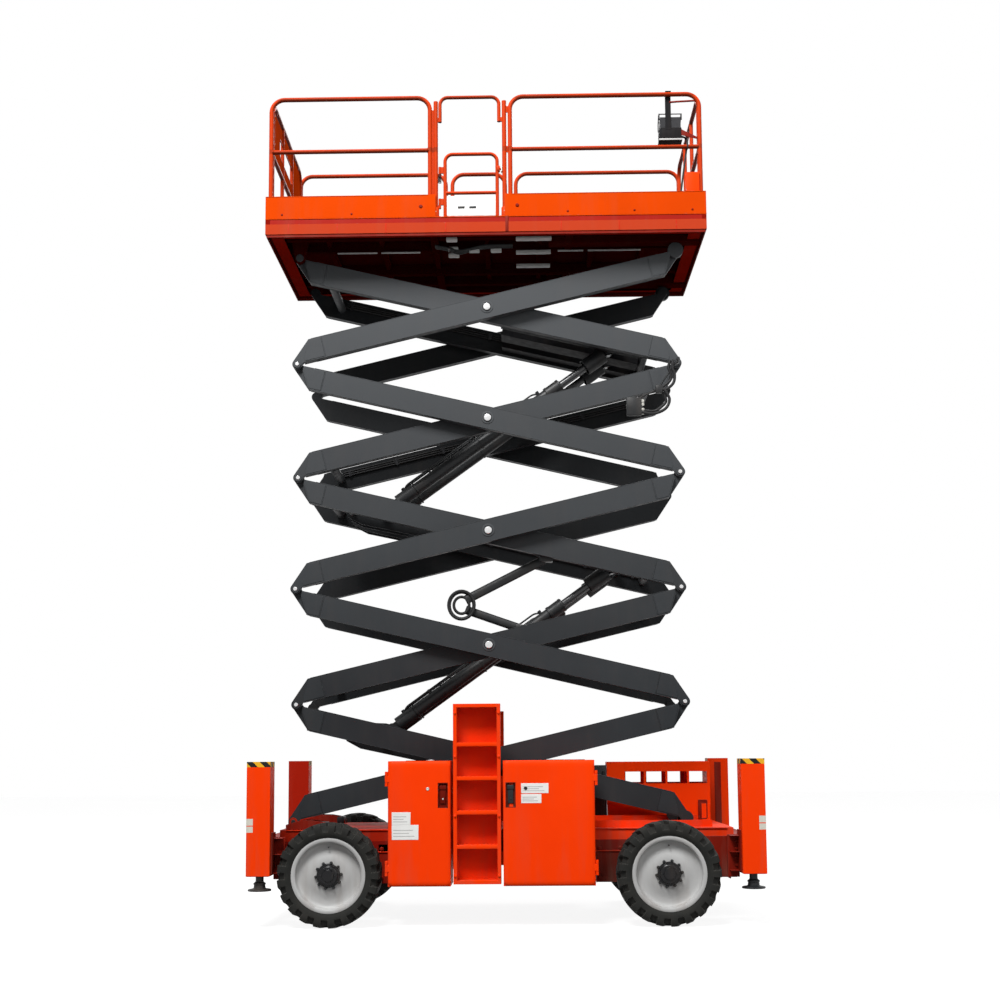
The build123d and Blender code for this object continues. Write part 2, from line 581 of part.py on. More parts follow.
def place_hood():
    """Hood over the right rear wheel: a row of vents outside, open towards the stack."""
    t = HOOD_WALL
    inside_x = (HOOD_X[0] + t, HOOD_X[1] - t)
    inside = block(inside_x, (HOOD_Y[0] - 1, HOOD_Y[1] - t), (HOOD_Z[0] + t, HOOD_Z[1] - t))
    hood = block(HOOD_X, HOOD_Y, HOOD_Z) - inside
    width, height = HOOD_WINDOW
    top = HOOD_Z[1] - HOOD_WINDOW_DROP
    for number in range(HOOD_WINDOW_COUNT):
        x = HOOD_X[0] + HOOD_WINDOW_FIRST + number * HOOD_WINDOW_PITCH
        window_x = (x - width / 2, x + width / 2)
        hood -= block(window_x, (HOOD_Y[1] - 2 * t, HOOD_Y[1] + 1), (top - height, top))
    for x in ((HOOD_X[0], HOOD_X[0] + HOOD_LEG), (HOOD_X[1] - HOOD_LEG, HOOD_X[1])):
        hood += block(x, (RAIL_OUTER_Y, HOOD_Y[0] + t), (RAIL_TOP - RAIL_HEIGHT, HOOD_Z[0] + t))
    save("rear_hood", hood.solid())


# ================================================================ scissor stack
def end_pin(x, z, start, end):
    """Pin along Y at an arm's end, with a head beyond the outer ear."""
    head = end + HEAD_GAP
    pin = rod_y(x, z, (start, head), END_PIN_RADIUS)
    return pin + rod_y(x, z, (head, head + PIN_HEAD[1]), PIN_HEAD[0])


drop_turn = atan2(2 * PIN_DROP, sqrt(ARM_LENGTH ** 2 - (2 * PIN_DROP) ** 2))
tube_length = ARM_LENGTH * cos(drop_turn)


def along_tube(s, t):
    """A point given along and across the tube, in the pin line's frame."""
    return (s * cos(drop_turn) + t * sin(drop_turn), -s * sin(drop_turn) + t * cos(drop_turn))


def tube_outline(points):
    """Points near the lower end, and the same points turned end for end."""
    low = [along_tube(s, t) for s, t in points]
    return low, [(ARM_LENGTH - u, -v) for u, v in low]


def make_arm(y, lower_play, lower_roller, upper_roller, sleeve):
    """One arm on the +Y side, along +X from its lower end pin, with hollow tube and two lap ears.

    The lower ear is the outer half of the arm's width and turns on a pin; the upper ear is the
    inner half and carries the pin of the next arm.
    """
    under = PIN_DROP - ARM_DEPTH / 2
    over = PIN_DROP + ARM_DEPTH / 2
    low, high = tube_outline([
        (NOSE_LENGTH, over), (TUBE_START, under + NOSE_DEPTH), (TUBE_START, under),
    ])
    arm = plate_y(low + high, (y, y + ARM_WIDTH))
    wall = ARM_WALL
    core_low, core_high = tube_outline([
        (NOSE_LENGTH + wall, over - wall), (NOSE_LENGTH + wall, under + wall),
    ])
    arm -= plate_y(core_low + core_high, (y + wall, y + ARM_WIDTH - wall))
    ear_low, ear_high = tube_outline([
        (0, -BOSS_RADIUS), (TUBE_START, under), (NOSE_LENGTH, under), (NOSE_LENGTH, over),
        (-BOSS_RADIUS * sin(pi / 4), BOSS_RADIUS * cos(pi / 4)),
    ])
    middle = y + ARM_WIDTH / 2
    outer_half = (middle + EAR_GAP / 2, y + ARM_WIDTH)
    inner_half = (y, middle - EAR_GAP / 2)
    arm += plate_y(ear_low, outer_half) + rod_y(0, 0, outer_half, BOSS_RADIUS)
    arm += plate_y(ear_high, inner_half) + rod_y(ARM_LENGTH, 0, inner_half, BOSS_RADIUS)
    centre = ARM_LENGTH / 2
    if sleeve:
        arm += rod_y(centre, 0, (y + 1, y + ARM_WIDTH - 1), CENTRE_SLEEVE_RADIUS)
        arm -= rod_y(centre, 0, (y - 1, y + ARM_WIDTH + 1), CENTRE_PIN_RADIUS + RUN)
    else:
        head = OUTER_ARM_Y + ARM_WIDTH + HEAD_GAP
        arm += rod_y(centre, 0, (y + 1, head), CENTRE_PIN_RADIUS)
        arm += rod_y(centre, 0, (head, head + PIN_HEAD[1]), PIN_HEAD[0])
    if lower_roller:
        arm += rod_y(0, 0, (y, middle + 1), base_z - RAIL_TOP - SEAT)
    else:
        arm -= rod_y(0, 0, outer_half, END_PIN_RADIUS + lower_play)
    if upper_roller:
        arm += rod_y(ARM_LENGTH, 0, (middle - EAR_GAP, y + ARM_WIDTH), track_bottom - top_z - SEAT)
    else:
        arm += end_pin(ARM_LENGTH, 0, y, y + ARM_WIDTH)
    return arm.solid()


def cross_tube(u, v):
    """A tube between the two arms of an inner frame."""
    reach = INNER_ARM_Y + ARM_WALL / 2
    bore = rod_y(u, v, (-reach, reach), TIE_RADIUS - TIE_WALL)
    return rod_y(u, v, (-reach, reach), TIE_RADIUS) - bore


def cylinder_lugs(u, v, turn, pinned):
    """Cross tube and two pairs of lugs that hold the cylinders' eyes at one point of a frame."""
    tie_u = u + TIE_FROM_EYE * cos(radians(turn))
    tie_v = v + TIE_FROM_EYE * sin(radians(turn))
    side_u = LUG_RADIUS * sin(radians(turn))
    side_v = -LUG_RADIUS * cos(radians(turn))
    outline = [
        (u + side_u, v + side_v), (tie_u + side_u, tie_v + side_v),
        (tie_u - side_u, tie_v - side_v), (u - side_u, v - side_v),
    ]
    bore = rod_y(tie_u, tie_v, (-INNER_ARM_Y, INNER_ARM_Y), TIE_RADIUS - TIE_WALL)
    lugs = cross_tube(tie_u, tie_v)
    near, far = EYE_WIDTH / 2 + LUG_GAP, EYE_WIDTH / 2 + LUG_GAP + LUG_THICKNESS
    for centre in (-CYLINDER_Y, CYLINDER_Y):
        for sign in (-1, 1):
            y = sorted((centre + sign * near, centre + sign * far))
            lugs += (plate_y(outline, y) + rod_y(u, v, y, LUG_RADIUS)) - bore
            boss = sorted((centre + sign * (far - 1), centre + sign * (far + LUG_BOSS[1])))
            lugs += rod_y(u, v, boss, LUG_BOSS[0])
        if pinned:
            lugs += rod_y(u, v, (centre - near - 1, centre + near + 1), CYLINDER_PIN_RADIUS)
    return lugs


def arm_place(stage, rising):
    """Where a stage's arm goes: its lower end pin and its lean."""
    z = base_z + (stage - 1) * stage_rise
    if rising:
        return lambda solid: Pos(left_x, 0, z) * Rot(Y=-REST_ANGLE) * solid
    return lambda solid: Pos(right_x, 0, z) * mirror(Rot(Y=-REST_ANGLE) * solid, about=Plane.YZ)


def place_stack():
    """Five stages, each with a pair of outer arms and an inner frame, crossing at centre pins."""
    for stage in range(1, STAGES + 1):
        odd = stage % 2 == 1
        outer = make_arm(
            OUTER_ARM_Y,
            lower_play=RUN if odd else OPEN_PLAY,
            lower_roller=False,
            upper_roller=stage == STAGES,
            sleeve=True,
        )
        put = arm_place(stage, rising=odd)
        save(f"stage_{stage}_outer_arms", *both_sides(put(outer)))
        inner = make_arm(
            INNER_ARM_Y,
            lower_play=OPEN_PLAY if odd else RUN,
            lower_roller=stage == 1,
            upper_roller=False,
            sleeve=False,
        )
        frame = inner + mirror(inner, about=Plane.XZ)
        centre_line = along_tube(TIE_FROM_END, PIN_DROP)
        frame += cross_tube(*centre_line)
        frame += cross_tube(ARM_LENGTH - centre_line[0], -centre_line[1])
        if odd and stage > 1:
            frame += cylinder_lugs(EYE_FROM_PIN, EYE_LIFT, EYE_TIE_TURN, pinned=False)
        if odd and stage < STAGES:
            frame += cylinder_lugs(ARM_LENGTH - FOOT_FROM_PIN, FOOT_LIFT, FOOT_TIE_TURN, pinned=True)
        put = arm_place(stage, rising=not odd)
        save(f"stage_{stage}_inner_frame", put(frame.solid()))


# ================================================================ lift cylinders
def on_falling_arm(stage, u, v):
    """X and Z of a point on a stage's falling arm."""
    x = right_x - u * cos(theta) + v * sin(theta)
    z = base_z + (stage - 1) * stage_rise + u * sin(theta) + v * cos(theta)
    return x, z


def place_cylinders():
    """Two pairs of lift cylinders, each between the inner frames of two odd stages."""
    for name, stage in (("lower", 1), ("upper", 3)):
        foot = on_falling_arm(stage, ARM_LENGTH - FOOT_FROM_PIN, FOOT_LIFT)
        eye = on_falling_arm(stage + 2, EYE_FROM_PIN, EYE_LIFT)
        length = hypot(eye[0] - foot[0], eye[1] - foot[1])
        lean = degrees(atan2(eye[1] - foot[1], eye[0] - foot[0]))
        width = EYE_WIDTH / 2
        turn = Rot(Y=90)
        plain_part = barrel_end - EYE_NECK
        barrel = Pos(EYE_NECK + plain_part / 2, 0, 0) * turn * Cylinder(BARREL_RADIUS, plain_part)
        barrel += Pos(EYE_NECK + BARREL_BLOCK[1] / 2, 0, 0) * turn * Cylinder(*BARREL_BLOCK)
        barrel += Pos(barrel_end - GLAND[1] / 2, 0, 0) * turn * Cylinder(*GLAND)
        barrel += rod_y(0, 0, (-width, width), EYE_RADIUS)
        barrel += block((0, EYE_NECK + 1), (-width, width), (-width, width))
        bore_start = EYE_NECK + BORE_FLOOR
        bore_length = barrel_end + 1 - bore_start
        bore = Pos(bore_start + bore_length / 2, 0, 0) * turn * Cylinder(ROD_RADIUS + SLIDE, bore_length)
        barrel -= bore
        barrel -= rod_y(0, 0, (-width - 1, width + 1), CYLINDER_PIN_RADIUS + RUN)
        round_part = rod_length - EYE_NECK
        rod = Pos(length - EYE_NECK - round_part / 2, 0, 0) * turn * Cylinder(ROD_RADIUS, round_part)
        rod += rod_y(length, 0, (-width, width), EYE_RADIUS)
        rod += block((length - EYE_NECK - 1, length), (-width, width), (-width, width))
        put = Pos(foot[0], 0, foot[1]) * Rot(Y=-lean)
        for part_name, solid in (("barrels", barrel.solid()), ("rods", rod.solid())):
            pair = [put * Pos(0, y, 0) * solid for y in (-CYLINDER_Y, CYLINDER_Y)]
            save(f"{name}_cylinder_{part_name}", *pair)


# ================================================================ platform
def make_deck():
    """Deck: floor plate, side and cross beams, roller tracks and the fixed upper hinges."""
    x0, x1 = platform_x
    under_floor = floor_top - FLOOR_THICKNESS
    deck = block((x0, x1), (-platform_y, platform_y), (under_floor, floor_top))
    beam_z = (deck_bottom, under_floor + 1)
    outer = block((x0, x1), (platform_y - SIDE_BEAM, platform_y), (deck_bottom, under_floor - SIDE_GROOVE))
    inner = block((x0, x1), (platform_y - 2 * SIDE_BEAM, platform_y - SIDE_BEAM), beam_z)
    for side in both_sides(outer + inner):
        deck += side
    pitch = (x1 - x0 - CROSS_BEAM[0]) / (CROSS_BEAM_COUNT - 1)
    for number in range(CROSS_BEAM_COUNT):
        x = x0 + number * pitch
        deep = number in (0, CROSS_BEAM_COUNT - 1)
        low = deck_bottom if deep else under_floor - CROSS_BEAM[1]
        reach = platform_y - 1 if deep else platform_y - SIDE_BEAM - 1
        deck += block((x, x + CROSS_BEAM[0]), (-reach, reach), (low, under_floor + 1))
    track_middle = OUTER_ARM_Y + ARM_WIDTH / 2
    track_y = (track_middle - TRACK_WIDTH / 2, track_middle + TRACK_WIDTH / 2)
    track = block((reach_low - GUIDE_OVERRUN, x1 - CROSS_BEAM[0]), track_y, (track_bottom, under_floor + 1))
    middle = INNER_ARM_Y + ARM_WIDTH / 2
    lug_y = (middle + EAR_GAP / 2, INNER_ARM_Y + ARM_WIDTH)
    lug = plate_y([
        (left_x - 2 * BOSS_RADIUS, under_floor + 1), (left_x + 2 * BOSS_RADIUS, under_floor + 1),
        (left_x + BOSS_RADIUS, top_z), (left_x - BOSS_RADIUS, top_z),
    ], lug_y)
    lug += rod_y(left_x, top_z, lug_y, BOSS_RADIUS)
    lug -= rod_y(left_x, top_z, lug_y, END_PIN_RADIUS + RUN)
    for piece in both_sides(track) + both_sides(lug):
        deck += piece
    return deck.solid()


def hoop(start, end, low, high, radius, bend):
    """A round tube up from start, over and down to end; start and end are (x, y)."""
    path = FilletPolyline((*start, low), (*start, high), (*end, high), (*end, low), radius=bend)
    section = Plane(origin=path @ 0, z_dir=path % 0) * Circle(radius)
    return sweep(section, path=path)


def rail_panel(start, end, post_count):
    """Guard rail panel: a hoop with a mid rail and upright posts between its ends."""
    high = floor_top + TOP_RAIL_ABOVE_FLOOR
    panel = hoop(start, end, floor_top, high, RAIL_TUBE, RAIL_BEND)
    mid = floor_top + MID_RAIL_ABOVE_FLOOR
    run = Vector(end[0] - start[0], end[1] - start[1], 0)
    mid_plane = Plane(origin=(*start, mid), z_dir=run)
    panel += extrude(mid_plane * Circle(RAIL_TUBE - 1), amount=run.length)
    for number in range(1, post_count + 1):
        share = number / (post_count + 1)
        x = start[0] + share * run.X
        y = start[1] + share * run.Y
        panel += rod_z(x, y, (floor_top, high), RAIL_TUBE - 2)
    return panel


def entry_post(post, pair, y, webbed):
    """Post beside the entry, joined to a guard rail's end by a web or by three tabs."""
    high = floor_top + TOP_RAIL_ABOVE_FLOOR
    top = high - POST_DROP
    piece = rod_z(post, y, (floor_top, top), RAIL_TUBE)
    between = sorted((post, pair))
    web_y = (y - PAIR_WEB / 2, y + PAIR_WEB / 2)
    if webbed:
        return piece + block(between, web_y, (floor_top, high - RAIL_BEND))
    for z in (floor_top + PAIR_TAB, floor_top + MID_RAIL_ABOVE_FLOOR, high - RAIL_BEND):
        piece += block(between, web_y, (z - PAIR_TAB / 2, z + PAIR_TAB / 2))
    return piece


def make_rails(y, left, right):
    """Guard rails on four sides, with the entry posts and the hoop over the entry."""
    high = floor_top + TOP_RAIL_ABOVE_FLOOR
    foot = high - ENTRY_HOOP_HEIGHT
    post_left, post_right = ENTRY_POSTS_X
    rail_left, rail_right = post_left - PAIR_PITCH, post_right + PAIR_PITCH
    near = rail_panel((left, -y), (rail_left, -y), 0)
    near += entry_post(post_left, rail_left, -y, webbed=True)
    near += rail_panel((rail_right, -y), (right, -y), 0)
    near += entry_post(post_right, rail_right, -y, webbed=False)
    near += hoop((hoop_x[0], -y), (hoop_x[1], -y), foot, high, GATE_TUBE, ENTRY_HOOP_BEND)
    for post, leg in zip(ENTRY_POSTS_X, hoop_x):
        link_y = (-y - GATE_TUBE / 2, -y + GATE_TUBE / 2)
        near += block(sorted((post, leg)), link_y, (foot, foot + RAIL_TUBE * 2))
    for bracket in make_gate_pins(post_left, y):
        near += bracket
    (first_end, middle_start), (middle_end, last_start) = RIGHT_BREAKS
    far = [
        rail_panel((start, y), (end, y), 0)
        for start, end in ((left, first_end), (middle_start, middle_end), (last_start, right))
    ]
    ends = [
        rail_panel((x, -y + CORNER_GAP), (x, y - CORNER_GAP), END_POSTS)
        for x in (left, right)
    ]
    return [panel.solid() for panel in (near, *far, *ends)]


def place_platform():
    """Deck, toe boards, guard rails with the entry, gate and control box."""
    save("platform_deck", make_deck())
    x0, x1 = platform_x
    toe_z = (floor_top, floor_top + TOE_HEIGHT)
    toe_y = (platform_y - TOE_THICKNESS, platform_y)
    near = (-toe_y[1], -toe_y[0])
    end_y = (-toe_y[0] + BOARD_GAP, toe_y[0] - BOARD_GAP)
    save(
        "toe_boards",
        block((x0, ENTRY_POSTS_X[0]), near, toe_z),
        block((ENTRY_POSTS_X[1], x1), near, toe_z),
        block((x0, x1), toe_y, toe_z),
        block((x0, x0 + TOE_THICKNESS), end_y, toe_z),
        block((x1 - TOE_THICKNESS, x1), end_y, toe_z),
    )
    y = platform_y - RAIL_INSET
    save("guard_rails", *make_rails(y, x0 + RAIL_INSET, x1 - RAIL_INSET))
    save("entry_gate", make_gate(ENTRY_POSTS_X[0], y))
    save("control_box", make_control_box(y))


def gate_heights():
    """Mid heights of the gate's two hinges."""
    return (floor_top + 150, floor_top + GATE_TOP_ABOVE_FLOOR - 150)


def make_gate(post_x, y):
    """Entry gate: a bent tube hoop with a lower bar and hinge barrels."""
    low, high = floor_top + GATE_FLOOR_GAP, floor_top + GATE_TOP_ABOVE_FLOOR
    gate = hoop((gate_x[0], -y), (gate_x[1], -y), low, high, GATE_TUBE, ENTRY_HOOP_BEND)
    bar = Plane(origin=(gate_x[0], -y, floor_top + GATE_BAR), z_dir=(1, 0, 0))
    gate += extrude(bar * Circle(GATE_TUBE - 1), amount=gate_x[1] - gate_x[0])
    axis_x = post_x + GATE_AXIS
    for height in gate_heights():
        z = (height - HINGE_BARREL / 2, height + HINGE_BARREL / 2)
        barrel = rod_z(axis_x, -y, z, HINGE_RADIUS)
        barrel += block((axis_x, gate_x[0]), (-y - 6, -y + 6), z)
        barrel -= rod_z(axis_x, -y, z, HINGE_PIN_RADIUS + RUN)
        gate += barrel
    return gate.solid()


def make_control_box(y):
    """Control box hung inside the left guard rail by a hook over the top rail."""
    rail_top = floor_top + TOP_RAIL_ABOVE_FLOOR + RAIL_TUBE
    back = -y + RAIL_TUBE + SLIDE
    width, depth, height = CONTROL_BOX_SIZE
    box = block(control_box_x, (back, back + depth), (control_box_top - height, control_box_top))
    middle = control_box_x[0] + width / 2
    hook_x = (middle - HOOK[0] / 2, middle + HOOK[0] / 2)
    box += block(hook_x, (back, back + HOOK[1]), (control_box_top - 1, rail_top + HOOK[1]))
    box += block(hook_x, (-y - RAIL_TUBE, back + HOOK[1]), (rail_top, rail_top + HOOK[1]))
    return box.solid()


def make_gate_pins(post_x, y):
    """Brackets on the entry post that carry the gate's hinge pins."""
    axis_x = post_x + GATE_AXIS
    pieces = []
    for height in gate_heights():
        reach = HINGE_BARREL / 2 + EAR_GAP
        bracket = rod_z(axis_x, -y, (height - reach - HINGE_LUG, height + reach), HINGE_PIN_RADIUS)
        z = (height - reach - HINGE_LUG, height - reach)
        bracket += rod_z(axis_x, -y, z, HINGE_RADIUS)
        bracket += block((post_x, axis_x), (-y - HINGE_RADIUS / 2, -y + HINGE_RADIUS / 2), z)
        pieces.append(bracket)
    return pieces


place_wheels()
place_axles()
make_chassis()
place_outriggers()
place_lockers()
place_ladders()
place_hood()
place_stack()
place_cylinders()
place_platform()
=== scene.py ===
"""Scissor lift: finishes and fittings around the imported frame.

Metres, +Z up.  -X is the front, where the wheels steer; -Y is the left side.
Each new piece is a surface worked out as whole arrays and placed in its mesh.
"""
import json
import math
from itertools import product

import bmesh
import bpy
import numpy as np
from mathutils import Matrix, Vector


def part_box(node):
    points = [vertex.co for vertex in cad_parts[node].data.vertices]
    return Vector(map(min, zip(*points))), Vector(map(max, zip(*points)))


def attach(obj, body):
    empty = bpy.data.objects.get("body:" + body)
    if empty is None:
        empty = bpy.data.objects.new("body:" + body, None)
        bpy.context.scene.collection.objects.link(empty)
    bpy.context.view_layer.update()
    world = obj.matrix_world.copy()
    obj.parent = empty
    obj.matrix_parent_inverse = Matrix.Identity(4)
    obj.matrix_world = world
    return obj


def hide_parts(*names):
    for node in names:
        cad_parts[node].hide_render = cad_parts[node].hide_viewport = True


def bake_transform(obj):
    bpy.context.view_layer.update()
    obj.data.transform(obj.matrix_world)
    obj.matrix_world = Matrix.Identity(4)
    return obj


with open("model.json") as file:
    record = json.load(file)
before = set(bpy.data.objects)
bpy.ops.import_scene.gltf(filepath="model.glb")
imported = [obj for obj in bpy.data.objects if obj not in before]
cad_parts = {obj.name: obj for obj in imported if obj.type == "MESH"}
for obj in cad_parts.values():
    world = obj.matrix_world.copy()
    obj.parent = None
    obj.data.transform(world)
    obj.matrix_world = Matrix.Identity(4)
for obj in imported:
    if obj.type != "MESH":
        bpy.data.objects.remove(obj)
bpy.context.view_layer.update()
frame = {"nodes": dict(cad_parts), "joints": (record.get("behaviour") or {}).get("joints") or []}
nodes = frame["nodes"]
joints = {j["name"]: j for j in frame["joints"]}
SIDES = (("left", -1), ("right", 1))
CORNERS = [(end, f"{end}_{side}", sign) for end in ("front", "rear") for side, sign in SIDES]
TAU = 2 * math.pi


def pivot(joint):
    """The point a joint turns about."""
    return np.array(joints[joint]["pos_m"], float)


def low_high(name):
    """A node's box as two arrays."""
    low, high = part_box(name)
    return np.array(low), np.array(high)


# ---------------------------------------------------------------- finishes
class Nodes:
    """A node tree being built: nodes are added and joined by short calls."""

    def __init__(self, tree):
        self.tree = tree
        tree.nodes.clear()

    def feed(self, socket, value):
        """Link a socket, or set its own value; a colour gets its alpha."""
        if isinstance(value, bpy.types.NodeSocket):
            self.tree.links.new(value, socket)
        elif value is not None:
            socket.default_value = (*value, 1.0) if socket.type == "RGBA" else value

    def add(self, kind, *inputs, **settings):
        """A node with its inputs in order, None for one left alone; then settings or inputs by name."""
        node = self.tree.nodes.new("ShaderNode" + kind)
        for key, value in settings.items():
            if hasattr(node, key):
                setattr(node, key, value)
            else:
                self.feed(node.inputs[key.replace("_", " ")], value)
        for socket, value in zip(node.inputs, inputs):
            self.feed(socket, value)
        return node

    def math(self, operation, a, b=0.0):
        return self.add("Math", a, b, operation=operation).outputs[0]

    def times(self, a, b):
        return self.math("MULTIPLY", a, b)

    def most(self, a, b):
        return self.math("MAXIMUM", a, b)

    def span(self, value, low, high, to_low=0.0, to_high=1.0):
        """A value from one span carried to another, held at its ends."""
        return self.add("MapRange", value, low, high, to_low, to_high).outputs[0]

    def seen(self):
        """1 for what the camera, a reflection or a transparent surface sees."""
        path = self.add("LightPath").outputs
        through = self.most(path["Is Glossy Ray"], path["Is Transmission Ray"])
        return self.most(path["Is Camera Ray"], through)


class Finish(Nodes):
    """A material read from Object coordinates."""

    def __init__(self, name):
        self.material = bpy.data.materials.new(name)
        self.material.use_nodes = True
        super().__init__(self.material.node_tree)
        out = self.add("OutputMaterial")
        self.shader = self.add("BsdfPrincipled")
        self.feed(out.inputs["Surface"], self.shader.outputs[0])
        self.place = self.add("TexCoord").outputs["Object"]

    def put(self, socket, value):
        """Link or set one of the shader's inputs."""
        self.feed(self.shader.inputs[socket], value)

    def stretched(self, scale=(1, 1, 1), turn=(0, 0, 0)):
        """Object coordinates, scaled and turned."""
        return self.add("Mapping", self.place, Scale=scale, Rotation=turn).outputs[0]

    def noise(self, scale, detail=3.0, rough=0.55, at=None):
        return self.add("TexNoise", at or self.place, None, scale, detail, rough).outputs["Fac"]

    def blend(self, share, a, b):
        """Two colours mixed by a share."""
        return self.add("Mix", share, *[None] * 5, a, b, data_type="RGBA").outputs[2]

    def axis(self, which, at=None):
        """One coordinate of the place."""
        return self.add("SeparateXYZ", at or self.place).outputs[which]

    def off_middle(self, which):
        """How far a place lies from the machine's middle, either way."""
        return self.math("ABSOLUTE", self.axis(which))

    def faces(self, which):
        """One part of the surface's direction."""
        return self.axis(which, self.add("NewGeometry").outputs["Normal"])

    def within(self, which, low, high, fade=0.0004):
        """1 where a coordinate lies between two levels."""
        value = self.axis(which)
        above = self.span(value, low - fade, low + fade)
        return self.times(above, self.span(value, high + fade, high - fade))

    def bumps(self, height, depth, rounding):
        """Small relief, on edges softened over a radius."""
        node = self.add("Bump", Strength=1.0, Distance=depth, Height=height)
        self.feed(node.inputs["Normal"], self.add("Bevel", samples=4, Radius=rounding).outputs[0])
        self.put("Normal", node.outputs[0])

    def worn_edges(self, radius):
        """1 where the surface turns within a radius, 0 on the flat."""
        soft = self.add("Bevel", samples=4, Radius=radius).outputs[0]
        face = self.add("NewGeometry").outputs["Normal"]
        dot = self.add("VectorMath", soft, face, operation="DOT_PRODUCT")
        return self.span(dot.outputs["Value"], 0.995, 0.90)


DUST = (0.16, 0.115, 0.085)
MOTTLE, STREAK, SPECK, SHEEN, PEEL = 1.3, 6.0, 38.0, 17.0, 420.0


def paint(name, colour, deep, rough=0.32, gloss=0.12, chip=(0.20, 0.17, 0.15), grime=0.25, chips=0.5,
          regions=()):
    """Sprayed paint: slow tone change, faint orange peel, dust low down, chips at the edges.

    A region is (share made by a function of the finish, colour): it is laid over the paint.
    """
    f = Finish(name)
    tone = f.blend(f.span(f.noise(MOTTLE, 4.0), 0.30, 0.72), colour, deep)
    for region, over in regions:
        tone = f.blend(region(f), tone, over(f) if callable(over) else over)
    streak = f.noise(STREAK, 4.0, 0.6, f.stretched((1.0, 1.0, 0.12)))
    low = f.span(f.axis(2), 1.3, 0.3)
    tone = f.blend(f.times(f.span(streak, 0.48, 0.74, 0.0, grime), f.math("ADD", low, 0.35)), tone, DUST)
    edge = f.worn_edges(0.004)
    speck = f.span(f.noise(SPECK, 5.0, 0.68), 0.575, 0.60)
    f.put("Base Color", f.blend(f.times(f.times(edge, speck), chips), tone, chip))
    f.put("Roughness", f.span(f.noise(SHEEN, 4.0), 0.3, 0.7, rough - 0.05, rough + 0.11))
    f.put("Specular IOR Level", gloss)
    f.bumps(f.noise(PEEL, 2.0), 0.00025, 0.004)
    return f.material


jack_low, jack_high = low_high("outrigger_housings")
deck_low, deck_high = low_high("platform_deck")
FLOOR_TOP, DECK_EDGE = deck_high[2], deck_high[1]
JACK_INNER = jack_high[1] - 0.199
BAND_STEP = 0.118
RAIL_R, RAIL_DROP = 0.020, 0.498
TOP_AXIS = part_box("guard_rails")[1][2] - RAIL_R
MID_AXIS = TOP_AXIS - RAIL_DROP
LADDER_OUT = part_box("ladders")[1][1]


def bands(f):
    """Black and yellow bands on the slant, as a colour."""
    slant = f.math("ADD", f.math("ADD", f.axis(0), f.axis(1)), f.axis(2))
    saw = f.math("FRACT", f.math("DIVIDE", slant, BAND_STEP))
    mottled = f.blend(f.span(f.noise(30.0, 4.0), 0.35, 0.7, 0.0, 0.25), (0.80, 0.42, 0.02), (0.40, 0.24, 0.05))
    return f.blend(f.span(saw, 0.49, 0.51), mottled, (0.016, 0.016, 0.016))


def jack_top(f):
    """The top of each outrigger housing, apart from its inner face."""
    outer = f.span(f.off_middle(1), JACK_INNER - 0.0005, JACK_INNER)
    return f.times(outer, f.span(f.axis(2), jack_high[2] - 0.0455, jack_high[2] - 0.0445))


def painted_shade_jack_inside(f):
    """Painted shade: the inner face of each front outrigger housing, painted dark red as if in shade."""
    return f.times(f.span(f.off_middle(1), JACK_INNER, JACK_INNER - 0.0005), f.span(f.axis(0), -1.0, -1.2))


def jack_label(f):
    """A blank pale label round the outer corner of each housing."""
    out = f.span(f.off_middle(0), jack_high[0] - 0.0565, jack_high[0] - 0.0555)
    high = f.times(f.within(2, 0.805, 0.920), out)
    line = f.math("SUBTRACT", 1.0, f.within(2, 0.856, 0.864))
    outside = f.span(f.off_middle(1), jack_high[1] - 0.002, jack_high[1] - 0.001)
    return f.times(f.times(high, line), outside)


def painted_shade_under_deck(f):
    """Painted shade: faces turned down, and inside and below the deck's frame, and in the groove along its
    edge, painted near black.
    """
    down = f.span(f.faces(2), -0.5, -0.8)
    inside = f.times(f.within(1, 0.002 - DECK_EDGE, DECK_EDGE - 0.002),
                     f.within(0, deck_low[0] + 0.002, deck_high[0] - 0.002))
    below = f.span(f.axis(2), FLOOR_TOP - 0.0075, FLOOR_TOP - 0.0085)
    return f.most(down, f.times(inside, below))


def painted_shade_deck_line(f):
    """The sunk line along the deck's edge, painted dark red: painted shade in the groove."""
    return f.within(2, FLOOR_TOP - 0.0545, FLOOR_TOP - 0.0085)


def deck_band(f):
    """The long face of the deck's edge, below the sunk line."""
    return f.within(2, FLOOR_TOP - 0.150, FLOOR_TOP - 0.0545)


def painted_shade_ladder_back(f):
    """The sunk back sheet of each ladder, painted darker: painted shade behind the treads."""
    return f.span(f.off_middle(1), LADDER_OUT - 0.010, LADDER_OUT - 0.120)


def painted_shade_below_rails(f):
    """Painted shade: the underside of the rail tubes, painted dark."""
    return f.span(f.faces(2), 0.35, -0.45, 0.0, 0.72)


def painted_shade_on_rails(f):
    """Painted shade: the long top and middle rails, painted darker and browner all round, unevenly along
    them.
    """
    top, middle = (f.within(2, z - RAIL_R - 0.0015, z + RAIL_R + 0.0015) for z in (TOP_AXIS, MID_AXIS))
    mottled = f.span(f.noise(9.0, 4.0, 0.6, f.stretched((0.3, 1.0, 1.0))), 0.3, 0.7, 0.45, 0.85)
    return f.times(f.most(top, middle), mottled)


def painted_light_up_the_stack(f):
    """Painted light: the upper stages painted lighter than the lower ones, as if lit more from above."""
    return f.span(f.axis(2), 1.8, 5.6, 0.0, 0.85)


def painted_shade_inwards(f):
    """Painted shade: faces of the arms turned to the middle of the machine, painted near black."""
    return f.span(f.times(f.faces(1), f.axis(1)), -0.12, -0.30, 0.0, 0.9)


def painted_shade_chassis_low(f):
    """Painted shade: the chassis below its top edge, and the front half's rails, painted dark red."""
    low = f.span(f.axis(2), 0.705, 0.698)
    return f.most(low, f.times(f.span(f.axis(0), 0.4, 0.2), 0.75))


